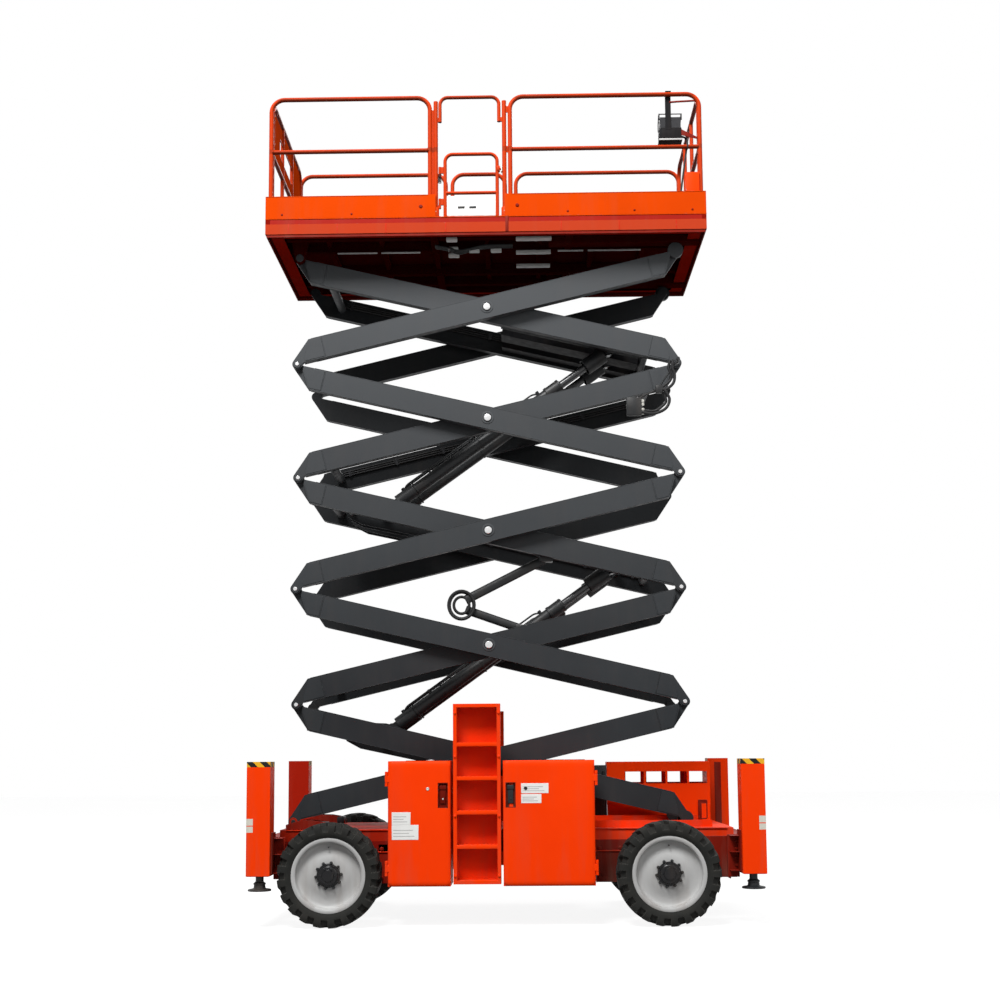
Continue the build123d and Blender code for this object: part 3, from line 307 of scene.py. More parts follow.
ORANGE, ORANGE_DEEP = (0.93, 0.047, 0.0012), (0.86, 0.040, 0.0010)
# on the arms: painted light higher up the stack, painted shade on faces turned inwards
ARM_REGIONS = ((painted_light_up_the_stack, (0.068, 0.072, 0.076)), (painted_shade_inwards, (0.009, 0.010, 0.011)))
orange = paint("orange_paint", ORANGE, ORANGE_DEEP, 0.42, 0.045, grime=0.13)
# on the outrigger housings: a blank label, the bands, and painted shade on the front inner faces
JACK_REGIONS = ((jack_label, (0.62, 0.60, 0.52)), (jack_top, bands), (painted_shade_jack_inside, (0.36, 0.012, 0.003)))
orange_jack = paint("orange_outrigger_paint", tuple(.92 * c for c in ORANGE), ORANGE_DEEP, 0.42, 0.05,
                    regions=JACK_REGIONS)
# on the deck: the edge band, painted shade below and inside the frame, painted shade in the sunk line
DECK_REGIONS = ((deck_band, (0.41, 0.041, 0.014)), (painted_shade_under_deck, (0.07, 0.0025, 0.0015)),
                (painted_shade_deck_line, (0.20, 0.007, 0.003)))
orange_deck = paint("orange_deck_paint", (0.59, 0.050, 0.002), (0.51, 0.044, 0.002), 0.6, 0.0,
                    regions=DECK_REGIONS)
# dark red on the deck's under flanges: painted shade
deck_flange_shade = paint("deck_flange_paint", (0.40, 0.012, 0.004), (0.30, 0.009, 0.003), 0.6, 0.0, grime=0.3)
# near black on the deck's stringers: painted shade
deck_inside_shade = paint("deck_inside_paint", (0.060, 0.0025, 0.0015), (0.045, 0.002, 0.001), 0.6, 0.0, grime=0.2)
# the ladder's back sheet gets painted shade
orange_ladder = paint("orange_ladder_paint", (0.88, 0.044, 0.0012), (0.80, 0.038, 0.001), 0.42, 0.06,
                      regions=((painted_shade_ladder_back, (0.74, 0.034, 0.0025)),))
# on the rails: painted shade on the long rails and on the tubes' undersides
RAIL_REGIONS = ((painted_shade_on_rails, (0.27, 0.030, 0.007)), (painted_shade_below_rails, (0.06, 0.010, 0.005)))
orange_rails = paint("orange_rail_paint", (0.70, 0.052, 0.004), (0.58, 0.044, 0.004), 0.42, 0.04,
                     regions=RAIL_REGIONS)
# the chassis below its top edge gets painted shade
orange_chassis = paint("orange_chassis_paint", (0.80, 0.038, 0.003), (0.70, 0.032, 0.003), 0.5, 0.06,
                       grime=0.4, regions=((painted_shade_chassis_low, (0.17, 0.006, 0.003)),))
orange_frame = paint("orange_frame_paint", (0.62, 0.026, 0.003), (0.48, 0.020, 0.003), 0.5, 0.08, grime=0.5)
dark_red = paint("dark_red_bracket_paint", (0.22, 0.010, 0.003), (0.15, 0.008, 0.003), 0.5, 0.08, grime=0.4)
charcoal = paint("charcoal_stack_paint", (0.026, 0.029, 0.032), (0.019, 0.021, 0.023), 0.45, 0.10,
                 (0.13, 0.13, 0.13), 0.10, regions=ARM_REGIONS)
# a darker copy of the stack's paint for the inner arms: painted shade
charcoal_inner_shaded = paint("charcoal_inner_arm_paint", (0.024, 0.026, 0.028), (0.016, 0.017, 0.019), 0.45, 0.09,
                       (0.11, 0.11, 0.11), 0.10, regions=ARM_REGIONS)
charcoal_light = paint("charcoal_plate_paint", (0.050, 0.054, 0.058), (0.040, 0.043, 0.046), 0.45, 0.12,
                       (0.13, 0.13, 0.13), 0.10, regions=ARM_REGIONS)
black_paint = paint("black_paint", (0.014, 0.015, 0.016), (0.009, 0.010, 0.011), 0.42, 0.25, (0.1, 0.1, 0.1))
matte_black = paint("matte_black_case", (0.007, 0.007, 0.008), (0.005, 0.005, 0.006), 0.6, 0.08,
                    (0.05, 0.05, 0.05), 0.2)
hub_black = paint("hub_gloss_black", (0.006, 0.006, 0.007), (0.004, 0.004, 0.005), 0.24, 0.22,
                  (0.10, 0.10, 0.10), 0.15, 0.2)
rim_paint = paint("grey_wheel_paint", (0.43, 0.43, 0.425), (0.37, 0.37, 0.365), 0.42, 0.25,
                  (0.2, 0.18, 0.16), 0.30)
# dark red in the deck's edge groove: painted shade
deck_groove_shade = paint("deck_groove_paint", (0.33, 0.010, 0.004), (0.27, 0.009, 0.004), 0.5, 0.06, grime=0.3)
# dark red in the door pockets: painted shade
recess_shade = paint("recess_paint", (0.15, 0.008, 0.003), (0.11, 0.006, 0.002), 0.5, 0.05, grime=0.4)
orange_seam = paint("orange_seam_paint", (0.52, 0.022, 0.003), (0.42, 0.018, 0.003), 0.5, 0.08, grime=0.4)
label_grey = paint("blank_label_grey", (0.45, 0.45, 0.44), (0.4, 0.4, 0.39), 0.45, 0.2, grime=0.15,
                   chips=0.1)
dark_rod = paint("dark_rod_finish", (0.030, 0.031, 0.034), (0.022, 0.023, 0.025), 0.22, 0.5,
                 (0.15, 0.15, 0.15), 0.1)
yellow_plastic = paint("yellow_plastic", (0.78, 0.50, 0.02), (0.70, 0.44, 0.02), 0.4, 0.3, grime=0.2,
                       chips=0.1)
red_plastic = paint("red_plastic", (0.60, 0.012, 0.008), (0.52, 0.010, 0.008), 0.35, 0.4, grime=0.1,
                    chips=0.1)
white_paint = paint("white_plate_paint", (0.80, 0.80, 0.78), (0.74, 0.74, 0.72), 0.4, 0.2,
                    (0.4, 0.4, 0.4), 0.12)


def rubber(name, colour, dust, rough=0.82):
    """Rubber: mould grain, pale dust in the hollows, and paler edges on the lugs: partly dust, partly a
    painted highlight.
    """
    f = Finish(name)
    slow = f.noise(5.0, 5.0, 0.65)
    edge_dust_and_highlight = f.times(f.worn_edges(0.006), f.span(f.noise(24.0, 4.0), 0.40, 0.62, 0.15, 0.95))
    tone = f.blend(f.span(slow, 0.40, 0.75, 0.0, 0.55), colour, dust)
    f.put("Base Color", f.blend(edge_dust_and_highlight, tone, tuple(1.7 * c for c in dust)))
    f.put("Roughness", f.span(slow, 0.3, 0.7, rough - 0.1, rough + 0.08))
    f.put("Specular IOR Level", 0.18)
    f.bumps(f.noise(190.0, 4.0, 0.7), 0.0007, 0.003)
    return f.material


tyre_rubber = rubber("tyre_rubber", (0.010, 0.0105, 0.0095), (0.036, 0.034, 0.030))
hose_rubber = rubber("hose_rubber", (0.013, 0.013, 0.014), (0.035, 0.034, 0.032), 0.55)
moulded = rubber("moulded_black_plastic", (0.014, 0.014, 0.016), (0.030, 0.030, 0.032), 0.48)


def bare(name, colour, rough, brush=(1, 1, 1), amount=0.3):
    """Bare metal: machining marks along one way, with stains."""
    f = Finish(name)
    stained = f.span(f.noise(7.0, 5.0, 0.6), 0.50, 0.78, 0.0, amount)
    f.put("Base Color", f.blend(stained, colour, (0.12, 0.09, 0.07)))
    f.put("Metallic", 1.0)
    fine = f.noise(60.0, 3.0, 0.6, f.stretched(brush))
    f.put("Roughness", f.span(fine, 0.25, 0.75, rough - 0.06, rough + 0.10))
    f.bumps(fine, 0.0002, 0.002)
    return f.material


pin_steel = bare("pin_steel", (0.62, 0.62, 0.62), 0.30, (4, 1, 4))
zinc_steel = bare("zinc_bolt_steel", (0.52, 0.51, 0.47), 0.36)
chrome = bare("chromed_rod", (0.72, 0.73, 0.75), 0.10, amount=0.06)
cast_iron = bare("cast_iron", (0.10, 0.095, 0.09), 0.55, amount=0.6)


def chequer(name, colour, deep, pitch):
    """Tread plate: short raised bars, turned by turns one way and the other."""
    f = Finish(name)
    heights = []
    for turn, shift in ((math.pi / 4, 0.0), (-math.pi / 4, 0.5)):
        at = f.stretched((1 / pitch, 1 / pitch, 0.0), (0, 0, turn))
        cell = f.add("VectorMath", operation="FRACTION")
        moved = f.add("VectorMath", at, (shift, shift, 0), operation="ADD")
        f.feed(cell.inputs[0], moved.outputs[0])
        u, v = (f.math("ABSOLUTE", f.math("SUBTRACT", f.axis(k, cell.outputs[0]), 0.5)) for k in (0, 1))
        heights.append(f.times(f.span(u, 0.36, 0.26), f.span(v, 0.13, 0.05)))
    bars = f.most(*heights)
    rub = f.times(bars, f.span(f.noise(3.0, 4.0), 0.35, 0.65, 0.1, 0.6))
    base = f.blend(f.span(f.noise(2.0, 5.0), 0.35, 0.7), colour, deep)
    f.put("Base Color", f.blend(rub, base, (0.30, 0.29, 0.28)))
    f.put("Roughness", f.span(f.noise(20.0), 0.3, 0.7, 0.40, 0.62))
    f.bumps(bars, 0.0016, 0.003)
    return f.material


deck_plate = chequer("deck_tread_plate", (0.085, 0.085, 0.088), (0.055, 0.054, 0.054), 0.045)


# ---------------------------------------------------------------- surfaces
def skin(rows, columns, wrap_rows=False, wrap_columns=False):
    """Quads between neighbours of a grid of points numbered row by row."""
    r = np.arange(rows if wrap_rows else rows - 1)[:, None]
    c = np.arange(columns if wrap_columns else columns - 1)[None, :]
    r1, c1 = (r + 1) % rows, (c + 1) % columns
    quads = [r * columns + c, r * columns + c1, r1 * columns + c1, r1 * columns + c]
    return np.stack(np.broadcast_arrays(*quads), -1).reshape(-1, 4)


def tube(grid, closed=False):
    """Faces for a row of rings, with a flat cap on each end of an open one."""
    rows, columns = grid.shape[:2]
    faces, cap = [skin(rows, columns, closed, True)], np.arange(columns)[None, :]
    return grid, faces if closed else [*faces, cap, cap + (rows - 1) * columns]


def piece(name, shapes, finish, body, sharp=35.0, rounding=0.0, stands_for=None):
    """One object from shapes of (points, faces[, finish number]); faces are turned outwards."""
    finishes = finish if isinstance(finish, (list, tuple)) else [finish]
    points, faces, numbers, start = [], [], [], 0
    for shape in shapes:
        p, quads = np.asarray(shape[0], float).reshape(-1, 3), shape[1]
        points.append(p)
        for part in quads if isinstance(quads, list) else [quads]:
            faces += (np.asarray(part) + start).tolist()
            numbers += [shape[2] if len(shape) > 2 else 0] * len(part)
        start += len(p)
    mesh = bpy.data.meshes.new(name)
    mesh.from_pydata(np.concatenate(points).tolist(), [], faces)
    mesh.polygons.foreach_set("material_index", np.array(numbers, np.int32))
    for item in finishes:
        mesh.materials.append(item)
    work = bmesh.new()
    work.from_mesh(mesh)
    bmesh.ops.remove_doubles(work, verts=work.verts, dist=1e-6)
    bmesh.ops.dissolve_degenerate(work, edges=work.edges, dist=1e-7)
    bmesh.ops.recalc_face_normals(work, faces=work.faces)
    work.to_mesh(mesh)
    work.free()
    mesh.shade_smooth()
    mesh.set_sharp_from_angle(angle=math.radians(sharp))
    made = bpy.data.objects.new(name, mesh)
    bpy.context.scene.collection.objects.link(made)
    if rounding:
        bevel = made.modifiers.new("rounding", "BEVEL")
        bevel.width, bevel.segments, bevel.limit_method = rounding, 2, "ANGLE"
        bevel.harden_normals = True
    if body:
        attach(made, body)
    if stands_for:
        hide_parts(stands_for)
    return made


def frame_of(direction):
    """A direction of length 1 and two more square to it."""
    d = np.asarray(direction, float)
    d = d / np.linalg.norm(d)
    helper = np.array((0, 0, 1.0)) if abs(d[2]) < 0.9 else np.array((1.0, 0, 0))
    across = np.cross(helper, d)
    across /= np.linalg.norm(across)
    return d, across, np.cross(d, across)


def spots(centre, axis, radius, number, start=0.0):
    """Points spaced round an axis: centre + r*(cos t, sin t)."""
    d, e1, e2 = frame_of(axis)
    t = start + np.arange(number) * TAU / number
    return np.asarray(centre, float) + radius * (np.cos(t)[:, None] * e1 + np.sin(t)[:, None] * e2)


def turned(profile, centre, axis, steps=32):
    """A profile of (radius, distance along) carried round an axis: centre + a*axis + r*(cos t, sin t)."""
    profile = np.asarray(profile, float)
    d = frame_of(axis)[0]
    ring = spots((0, 0, 0), axis, 1.0, steps)
    radius, along = profile[None, :, 0, None], profile[None, :, 1, None]
    grid = np.asarray(centre, float) + along * d + radius * ring[:, None]
    closed = np.allclose(profile[0], profile[-1])
    grid = grid[:, :-1] if closed else grid
    return grid, skin(steps, grid.shape[1], True, closed)


def rod(a, b, radius, steps=20, edge=0.0015):
    """A round bar between two points with its two ends chamfered."""
    a, b = np.asarray(a, float), np.asarray(b, float)
    length = np.linalg.norm(b - a)
    e = min(edge, radius * 0.3, length * 0.3)
    profile = [(0, 0), (radius - e, 0), (radius, e), (radius, length - e), (radius - e, length), (0, length)]
    return turned(profile, a, b - a, steps)


def bolts(points, axis, across=0.019, high=0.010, washer=True):
    """At each point a hexagon head, its top face chamfered, on a washer."""
    r, base, shapes = across / math.sqrt(3), 0.0025 if washer else 0.0, []
    profile = [(0, 0.0), (r, 0.0), (r, high * 0.85), (r * 0.86, high), (0, high)]
    disc = [(0, 0), (r * 1.35, 0), (r * 1.35, base * 0.7), (r * 1.25, base), (0, base)]
    for point in points:
        if washer:
            shapes.append(turned(disc, point, axis, 14))
        shapes.append(turned(profile, np.asarray(point) + base * frame_of(axis)[0], axis, 6))
    return shapes


def pillow(low, high, radius, turns=3):
    """A block with round edges: a ball's point n carried to centre + sign(n)*(half - r) + r*n."""
    low, high = np.minimum(low, high), np.maximum(low, high)
    centre, half = (low + high) / 2, (high - low) / 2
    r = min(radius, half.min() * 0.999)
    quarter = np.linspace(0, math.pi / 2, turns + 1)
    around = np.concatenate([quarter + k * math.pi / 2 for k in range(4)])
    signs = np.repeat(np.array([(1, 1), (-1, 1), (-1, -1), (1, -1)], float), turns + 1, axis=0)
    up = np.concatenate([-quarter[::-1], quarter])
    level = np.repeat((-1.0, 1.0), turns + 1)
    n = np.stack(np.broadcast_arrays(
        np.cos(up)[:, None] * np.cos(around), np.cos(up)[:, None] * np.sin(around), np.sin(up)[:, None]
    ), -1)
    corner = np.stack(np.broadcast_arrays(signs[None, :, 0], signs[None, :, 1], level[:, None]), -1)
    return tube(centre + corner * (half - r) + r * n)


def block(at, x, y, z, radius, turns=2):
    """A block with round edges between limits measured from a point."""
    at = np.asarray(at, float)
    return pillow(at + (x[0], y[0], z[0]), at + (x[1], y[1], z[1]), radius, turns)


def prism(outline, low, high, axis=1):
    """A flat outline carried along an axis between two levels."""
    return tube(np.stack([np.insert(np.asarray(outline, float), axis, level, 1) for level in (low, high)]))


def slab(x, y, z):
    """A plain block between limits, for a bevel to round."""
    return prism([(x[0], z[0]), (x[1], z[0]), (x[1], z[1]), (x[0], z[1])], *y)


def smooth_path(points, each=8):
    """Catmull-Rom line through points: cubic in the share of each span, with the ends held."""
    p = np.asarray(points, float)
    p = np.concatenate([2 * p[:1] - p[1:2], p, 2 * p[-1:] - p[-2:-1]])
    t = np.linspace(0, 1, each, endpoint=False)[:, None]
    a, b, c, d = (p[k:len(p) - 3 + k, None] for k in range(4))
    curve = (2 * a - 5 * b + 4 * c - d) * t ** 2 + (3 * b - a - 3 * c + d) * t ** 3
    line = 0.5 * (2 * b + (c - a) * t + curve)
    return np.concatenate([line.reshape(-1, 3), p[-2:-1]])


def rounded_path(corners, radius, each=7, closed=False):
    """A line of straight runs whose corners are arcs: quadratic from each run to the next."""
    p = np.asarray(corners, float)
    before, after = np.roll(p, 1, 0) - p, np.roll(p, -1, 0) - p
    lb, la = np.linalg.norm(before, axis=1), np.linalg.norm(after, axis=1)
    cut = np.minimum(radius, 0.49 * np.minimum(lb, la))
    start, end = p + before * (cut / lb)[:, None], p + after * (cut / la)[:, None]
    t = np.linspace(0, 1, each)[None, :, None]
    arcs = (1 - t) ** 2 * start[:, None] + 2 * t * (1 - t) * p[:, None] + t ** 2 * end[:, None]
    if closed:
        return arcs.reshape(-1, 3)
    return np.concatenate([p[:1], arcs[1:-1].reshape(-1, 3), p[-1:]])


def swept(path, radius, steps=10, closed=False, up=(0.13, 0.21, 0.97), flat=1.0):
    """A round section carried along a path: p + r*(cos t * side + sin t * top) at each station."""
    p = np.asarray(path, float)
    tangent = np.roll(p, -1, 0) - np.roll(p, 1, 0) if closed else np.gradient(p, axis=0)
    tangent /= np.linalg.norm(tangent, axis=1)[:, None]
    side = np.cross(np.asarray(up, float), tangent)
    side /= np.linalg.norm(side, axis=1)[:, None]
    top = np.cross(tangent, side)
    t = np.arange(steps) * TAU / steps
    r = np.broadcast_to(np.asarray(radius, float), (len(p),))[:, None, None]
    ring = np.cos(t)[None, :, None] * side[:, None] + flat * np.sin(t)[None, :, None] * top[:, None]
    return tube(p[:, None] + r * ring, closed)


def pipe(corners, corner, radius, steps=10, **more):
    """A pipe of straight runs with round corners."""
    return swept(rounded_path(corners, corner), radius, steps, **more)


def hose(points, each, radius, steps=10, **more):
    """A hose lying smoothly through points."""
    return swept(smooth_path(points, each), radius, steps, **more)


def both(shapes):
    """The shapes and their mirror images on the other side of the machine."""
    flipped = [(np.asarray(s[0], float).reshape(-1, 3) * (1, -1, 1), *s[1:]) for s in shapes]
    return list(shapes) + flipped


# ---------------------------------------------------------------- finishes of the frame's own pieces
FINISH_BY_NODE = {
    "front_axle": black_paint, "rear_axle": black_paint, "left_knuckle": black_paint,
    "right_knuckle": black_paint, "engine_block": cast_iron, "chassis_frame": orange_chassis,
    "ladders": orange_ladder, "toe_boards": orange_deck, "guard_rails": orange_rails,
    "entry_gate": orange_rails, "control_box": moulded, "outrigger_housings": orange_jack,
    "platform_deck": orange_deck, "outrigger_beams": dark_red,
}
FINISH_BY_ENDING = {"leg": black_paint, "barrels": black_paint, "rods": dark_rod, "tyre": tyre_rubber,
                    "rim": rim_paint}
for name, node in nodes.items():
    chosen = FINISH_BY_NODE.get(name) or FINISH_BY_ENDING.get(name.rsplit("_", 1)[-1], orange)
    if name.startswith("stage_"):
        # the inner arms take the darker copy of the paint: painted shade
        chosen = charcoal_inner_shaded if "_inner" in name else charcoal
    for held in node.material_slots:
        held.material = chosen
    if not node.material_slots:
        node.data.materials.append(chosen)


# ---------------------------------------------------------------- wheels
LUGS, LUG_HEIGHT, LUG_LEAN = 21, 0.030, 0.30
BEAD_R, BEAD_Y = 0.288, 0.112


def tyre_shape(centre, outward):
    """Tyre: a round-shouldered section carried round the axle; between lugs the tread sinks.

    The radius is the section's less H*sink*(1 - lug), lug being 1 on a lug and 0 beside it.  Rows follow
    the lugs, which lean by a slant; the two halves are staggered by half a lug.
    """
    across = np.array((
        (.286, .112), (.306, .121), (.318, .127), (.330, .136), (.348, .1445), (.366, .1475),
        (.376, .1492), (.392, .150), (.409, .1485), (.4245, .142), (.4335, .129), (.4372, .110),
        (.4383, .084), (.4392, .058), (.4397, .030), (.440, .012),
    ))
    sink = np.array((0, 0, 0, 0, 0, .10, .55, .9, 1, 1, 1, 1, 1, 1, 1, 1))
    radius, side = np.concatenate([across, across[::-1] * (1, -1)]).T
    sink = np.concatenate([sink, sink[::-1]])
    off, hand = np.abs(side), np.sign(side)
    cell = np.array((-.27, -.225, -.11, .11, .225, .27, .40, .60))
    pitch = TAU / LUGS
    base = (np.arange(LUGS)[:, None] + cell).ravel() * pitch
    raised = np.tile(np.array((0, 1, 1, 1, 1, 0, 0, 0), float), LUGS)[:, None]
    lug = np.where(off < 0.02, 1.0, np.where(side > 0, raised, 1 - raised))
    depth = LUG_HEIGHT * sink * (1 - lug)
    shoulder = np.clip((off - 0.120) / 0.022, 0, 1)
    r = radius - depth * (1 - 0.55 * shoulder)
    y = side - hand * depth * shoulder * 0.8
    angle = base[:, None] + LUG_LEAN * pitch * hand * (1 - np.clip(off / 0.12, 0, 1))
    grid = np.stack([r * np.cos(angle), outward * y, r * np.sin(angle)], -1) + centre
    level = np.broadcast_to(base[:, None], (len(base), 2))
    bead_y = np.broadcast_to(outward * np.array((-BEAD_Y, BEAD_Y)), level.shape)
    bead = np.stack([BEAD_R * np.cos(level), bead_y, BEAD_R * np.sin(level)], -1)
    grid = np.concatenate([grid, bead + centre], 1)
    return grid, skin(len(base), grid.shape[1], True, True)


# wheel disc: lip, drop and dish as one profile round the axle; hub: a stepped drum with a cap;
# its bolts in two rings, each with its level, radius, number, turn, size across and height
DISC = [
    (.272, -.120), (.288, -.124), (.312, -.125), (.314, -.118), (.306, -.113), (.299, -.113), (.299, .112),
    (.309, .113), (.3165, .119), (.314, .1265), (.304, .1290), (.290, .1275), (.281, .1225), (.277, .110),
    (.2735, .092), (.268, .080), (.258, .073), (.240, .070), (.215, .0695), (.190, .073), (.165, .080),
    (.145, .086), (.120, .088), (.085, .088), (.085, .070), (.130, .070), (.160, .066), (.200, .056),
    (.240, .054), (.262, .060), (.272, .076), (.272, -.120),
]
DRUM = [(0, .060), (.101, .060), (.101, .102), (.097, .109), (.084, .112), (.080, .128), (.072, .134),
        (.052, .136), (.048, .146), (.030, .148), (0, .148)]
HUB_BOLTS = ((.108, .091, 8, 0.2, .016, .009), (.134, .062, 6, 0.0, .013, .007))
STUD_RING, VALVE_RING = 0.108, 0.236
for _, corner, sign in CORNERS:
    middle, axis, body = pivot(f"{corner}_spin"), np.array((0, sign, 0), float), f"{corner}_wheel"
    piece(f"{corner}_tyre_tread", [tyre_shape(middle, sign)], tyre_rubber, body, 28,
          stands_for=f"{corner}_tyre")
    piece(f"{corner}_wheel_disc", [turned(DISC, middle, axis, 96)], rim_paint, body, 40,
          stands_for=f"{corner}_rim")
    hub = [turned(DRUM, middle, axis, 48)]
    for level, ring, number, turn, across, high in HUB_BOLTS:
        hub += bolts(spots(middle + axis * level, axis, ring, number, turn), axis, across, high, False)
    piece(f"{corner}_hub", hub, hub_black, body, 30)
    # ten wheel nuts on their studs, and the valve
    nuts = []
    for at in spots(middle + axis * .087, axis, STUD_RING, 10, 0.1):
        nuts += [*bolts([at], axis, .024, .017, False), rod(at + axis * .015, at + axis * .030, .008, 8)]
    valve = spots(middle + axis * .073, axis, VALVE_RING, 4)[1]
    nuts.append(rod(valve, valve + axis * .038, .0055, 8))
    piece(f"{corner}_wheel_nuts", nuts, black_paint, body, 30)


# ---------------------------------------------------------------- locker doors
EDGE_BAND, EDGE_FALL, DOOR_THICK, POCKET_DEEP = 0.042, 0.019, 0.026, 0.0235


def door_shape(x, z, outer, inward, pocket):
    """Pressed door: a height field whose edge falls off as a quarter ellipse, with a deep pocket.

    Depth at (x, z) is T*(1 - sqrt(1 - h*h)), h the share of the edge band; the pocket's cells sink.
    """
    near, hair = np.array((0, .0007, .003, .007, .013, .021, .031, .042)), np.array((-.0006, .0006))
    lines = []
    for (low, high), count, (start, end) in ((x, 7, pocket[0]), (z, 9, pocket[1])):
        even = np.linspace(low + .06, high - .06, count)
        lines.append(np.unique(np.concatenate([low + near, high - near, even, start + hair, end + hair])))
    gx, gz = np.meshgrid(*lines)
    a = np.clip(1 - np.minimum(gx - x[0], x[1] - gx) / EDGE_BAND, 0, 1)
    b = np.clip(1 - np.minimum(gz - z[0], z[1] - gz) / EDGE_BAND, 0, 1)
    h = np.clip(np.hypot(a, b), 0, 1)
    depth = EDGE_FALL * (1 - np.sqrt(1 - h * h))
    sunk = (gx > pocket[0][0]) & (gx < pocket[0][1]) & (gz > pocket[1][0]) & (gz < pocket[1][1])
    depth = np.pad(np.where(sunk, POCKET_DEEP, depth), 1, constant_values=DOOR_THICK)
    gx, gz = np.pad(gx, 1, mode="edge"), np.pad(gz, 1, mode="edge")
    rows, columns = gx.shape
    number = np.arange(rows * columns).reshape(rows, columns)
    rim = np.concatenate([number[0, :-1], number[:-1, -1], number[-1, :0:-1], number[:0:-1, 0]])
    return np.stack([gx, outer + inward * depth, gz], -1), [skin(rows, columns), rim[None, :]]


RECESS_X, RECESS_Z, RECESS_MID = 0.042, 0.105, 1.105
HINGE_GAP, HINGE_INSET = 0.014, 0.150
LABELS = {"front": ((-.959, .735, -.733, .860), (-.959, .860, -.800, .966)),
          "rear": ((.135, 1.118, .367, 1.202), (.135, 1.035, .306, 1.112))}
LOCK = [(0, 0), (.008, 0), (.008, .004), (.006, .006), (0, .006)]
BUTTON = [(0, -.001), (.013, -.001), (.0145, .002), (.013, .0045), (.009, .0055), (.008, .003), (0, .003)]
for end, corner, sign in CORNERS:
    body = f"{corner}_door"
    low, high = low_high(body)
    axis = pivot(f"{body}_hinge")
    away = 1 if axis[0] < (low[0] + high[0]) / 2 else -1
    hinge_edge, free_edge = axis[0] + away * HINGE_GAP, (high if away > 0 else low)[0]
    x0, x1 = sorted((hinge_edge, free_edge))
    z0, z1 = low[2], high[2]
    face = sign * max(abs(low[1]), abs(high[1]))
    mid = free_edge - away * (0.022 + RECESS_X)
    pocket = ((mid - RECESS_X, mid + RECESS_X), (RECESS_MID - RECESS_Z, RECESS_MID + RECESS_Z))
    shapes = [door_shape((x0, x1), (z0, z1), face, -sign, pocket)]
    for height in (z0 + HINGE_INSET, z1 - HINGE_INSET):
        pin = np.array((axis[0], axis[1], height))
        shapes.append(rod(pin - (0, 0, .030), pin + (0, 0, .030), .012, 20))
        shapes.append(block(pin, (0, away * (HINGE_GAP + .030)), (-.007, .007), (-.029, .029), .002, 1))
    # ribs on the back: one near each edge and one across
    for a, c, b, d in ((x0 + .05, z0 + .05, x0 + .09, z1 - .05), (x1 - .09, z0 + .05, x1 - .05, z0 + .55),
                       (x0 + .05, z0 + .05, x1 - .05, z0 + .09), (x0 + .05, z1 - .09, x1 - .05, z1 - .05),
                       (x0 + .05, .70, x1 - .05, .74)):
        shapes.append(block((0, face, 0), (a, b), (-sign * .022, -sign * .042), (c, d), .005))
    piece(f"{corner}_door_skin", shapes, orange, body, 30, stands_for=body)
    # the door pocket's lining and the front doors' latch are painted dark red: painted shade in the pocket
    floor, flush = sign * POCKET_DEEP, sign * .0006
    at = (mid, face - floor, RECESS_MID)
    lining = [block(at, (-.0415, .0415), (-sign * .001, sign * .001), (-.1045, .1045), .0008, 1)]
    for a, b, c, d in ((-.042, -.0365, -.105, .105), (.0365, .042, -.105, .105),
                       (-.042, .042, -.105, -.0995), (-.042, .042, .0995, .105)):
        lining.append(block(at, (a, b), (0, floor - flush), (c, d), .0008, 1))
    piece(f"{corner}_door_recess", lining, recess_shade, body, 40)
    paddle = [block(at, (-.024, .024), (0, sign * .010), (-.070, .060), .004, 3),
              block(at, (-.030, .030), (0, sign * .016), (.046, .084), .006, 3)]
    front = end == "front"
    piece(f"{corner}_door_latch", paddle, recess_shade if front else moulded, body, 40)
    lock = [turned(LOCK, at + np.array((0, sign * .009, -.03)), (0, sign, 0), 20),
            turned(BUTTON, (free_edge - away * .192, face, 1.161), (0, sign, 0), 28)]
    piece(f"{corner}_door_lock", lock, zinc_steel if front else black_paint, body, 30)
    # pale plates where writing would be, with short blank bars on them
    on_face = (0, face, 0)
    plates = [(*block(on_face, (a, b), (-sign * .001, sign * .0012), (c, d), .001, 1), 0)
              for a, c, b, d in LABELS[end]]
    plates += [(*block(on_face, (a + .012, b - .012 - (b - a) * cut), (sign * .0008, sign * .0014),
                       (c + (d - c) * k, c + (d - c) * k + .006), .0006, 1), 1)
               for a, c, b, d in LABELS[end] for k, cut in ((.22, .1), (.42, .3), (.62, .15))]
    piece(f"{corner}_door_label", plates, [white_paint, label_grey], body, 40)


# ---------------------------------------------------------------- ladders
lad_low, lad_high = low_high("ladders")
FIRST_TREAD, TREAD_STEP, STUD_ROWS = 0.686, 0.287, (.030, .062, .094, .126)
STUD = [(.0085, -.001), (.0075, .0028), (.0045, .0032), (.0045, -.001), (.0085, -.001)]
studs, noses = [], []
for level in FIRST_TREAD + TREAD_STEP * np.arange(4):
    for x, deep in product(np.linspace(lad_low[0] + .055, lad_high[0] - .055, 9), STUD_ROWS):
        studs.append(turned(STUD, (x, deep - LADDER_OUT, level), (0, 0, 1), 8))
    noses.append(block((0, -LADDER_OUT, level), (lad_low[0] + .031, lad_high[0] - .031), (-.0005, .012),
                       (-.031, .002), .003))
ends = (lad_low[0] + .015, lad_high[0] - .015)
rivets = bolts(product(ends, [-LADDER_OUT - .0002], (.43, .93, 1.43, 1.80)), (0, -1, 0), .016, .008)
piece("ladder_tread_buttons", both(studs), orange, "chassis", 30)
piece("ladder_tread_noses", both(noses), orange, "chassis", 40)
piece("ladder_bolts", both(rivets), orange, "chassis", 30)


# ---------------------------------------------------------------- chassis
RAIL_Y, RAIL_TOP, END_X, AXLE_Z = 0.660, 0.800, 1.985, 0.44
FRONT_X, REAR_X = pivot("front_left_spin")[0], pivot("rear_left_spin")[0]
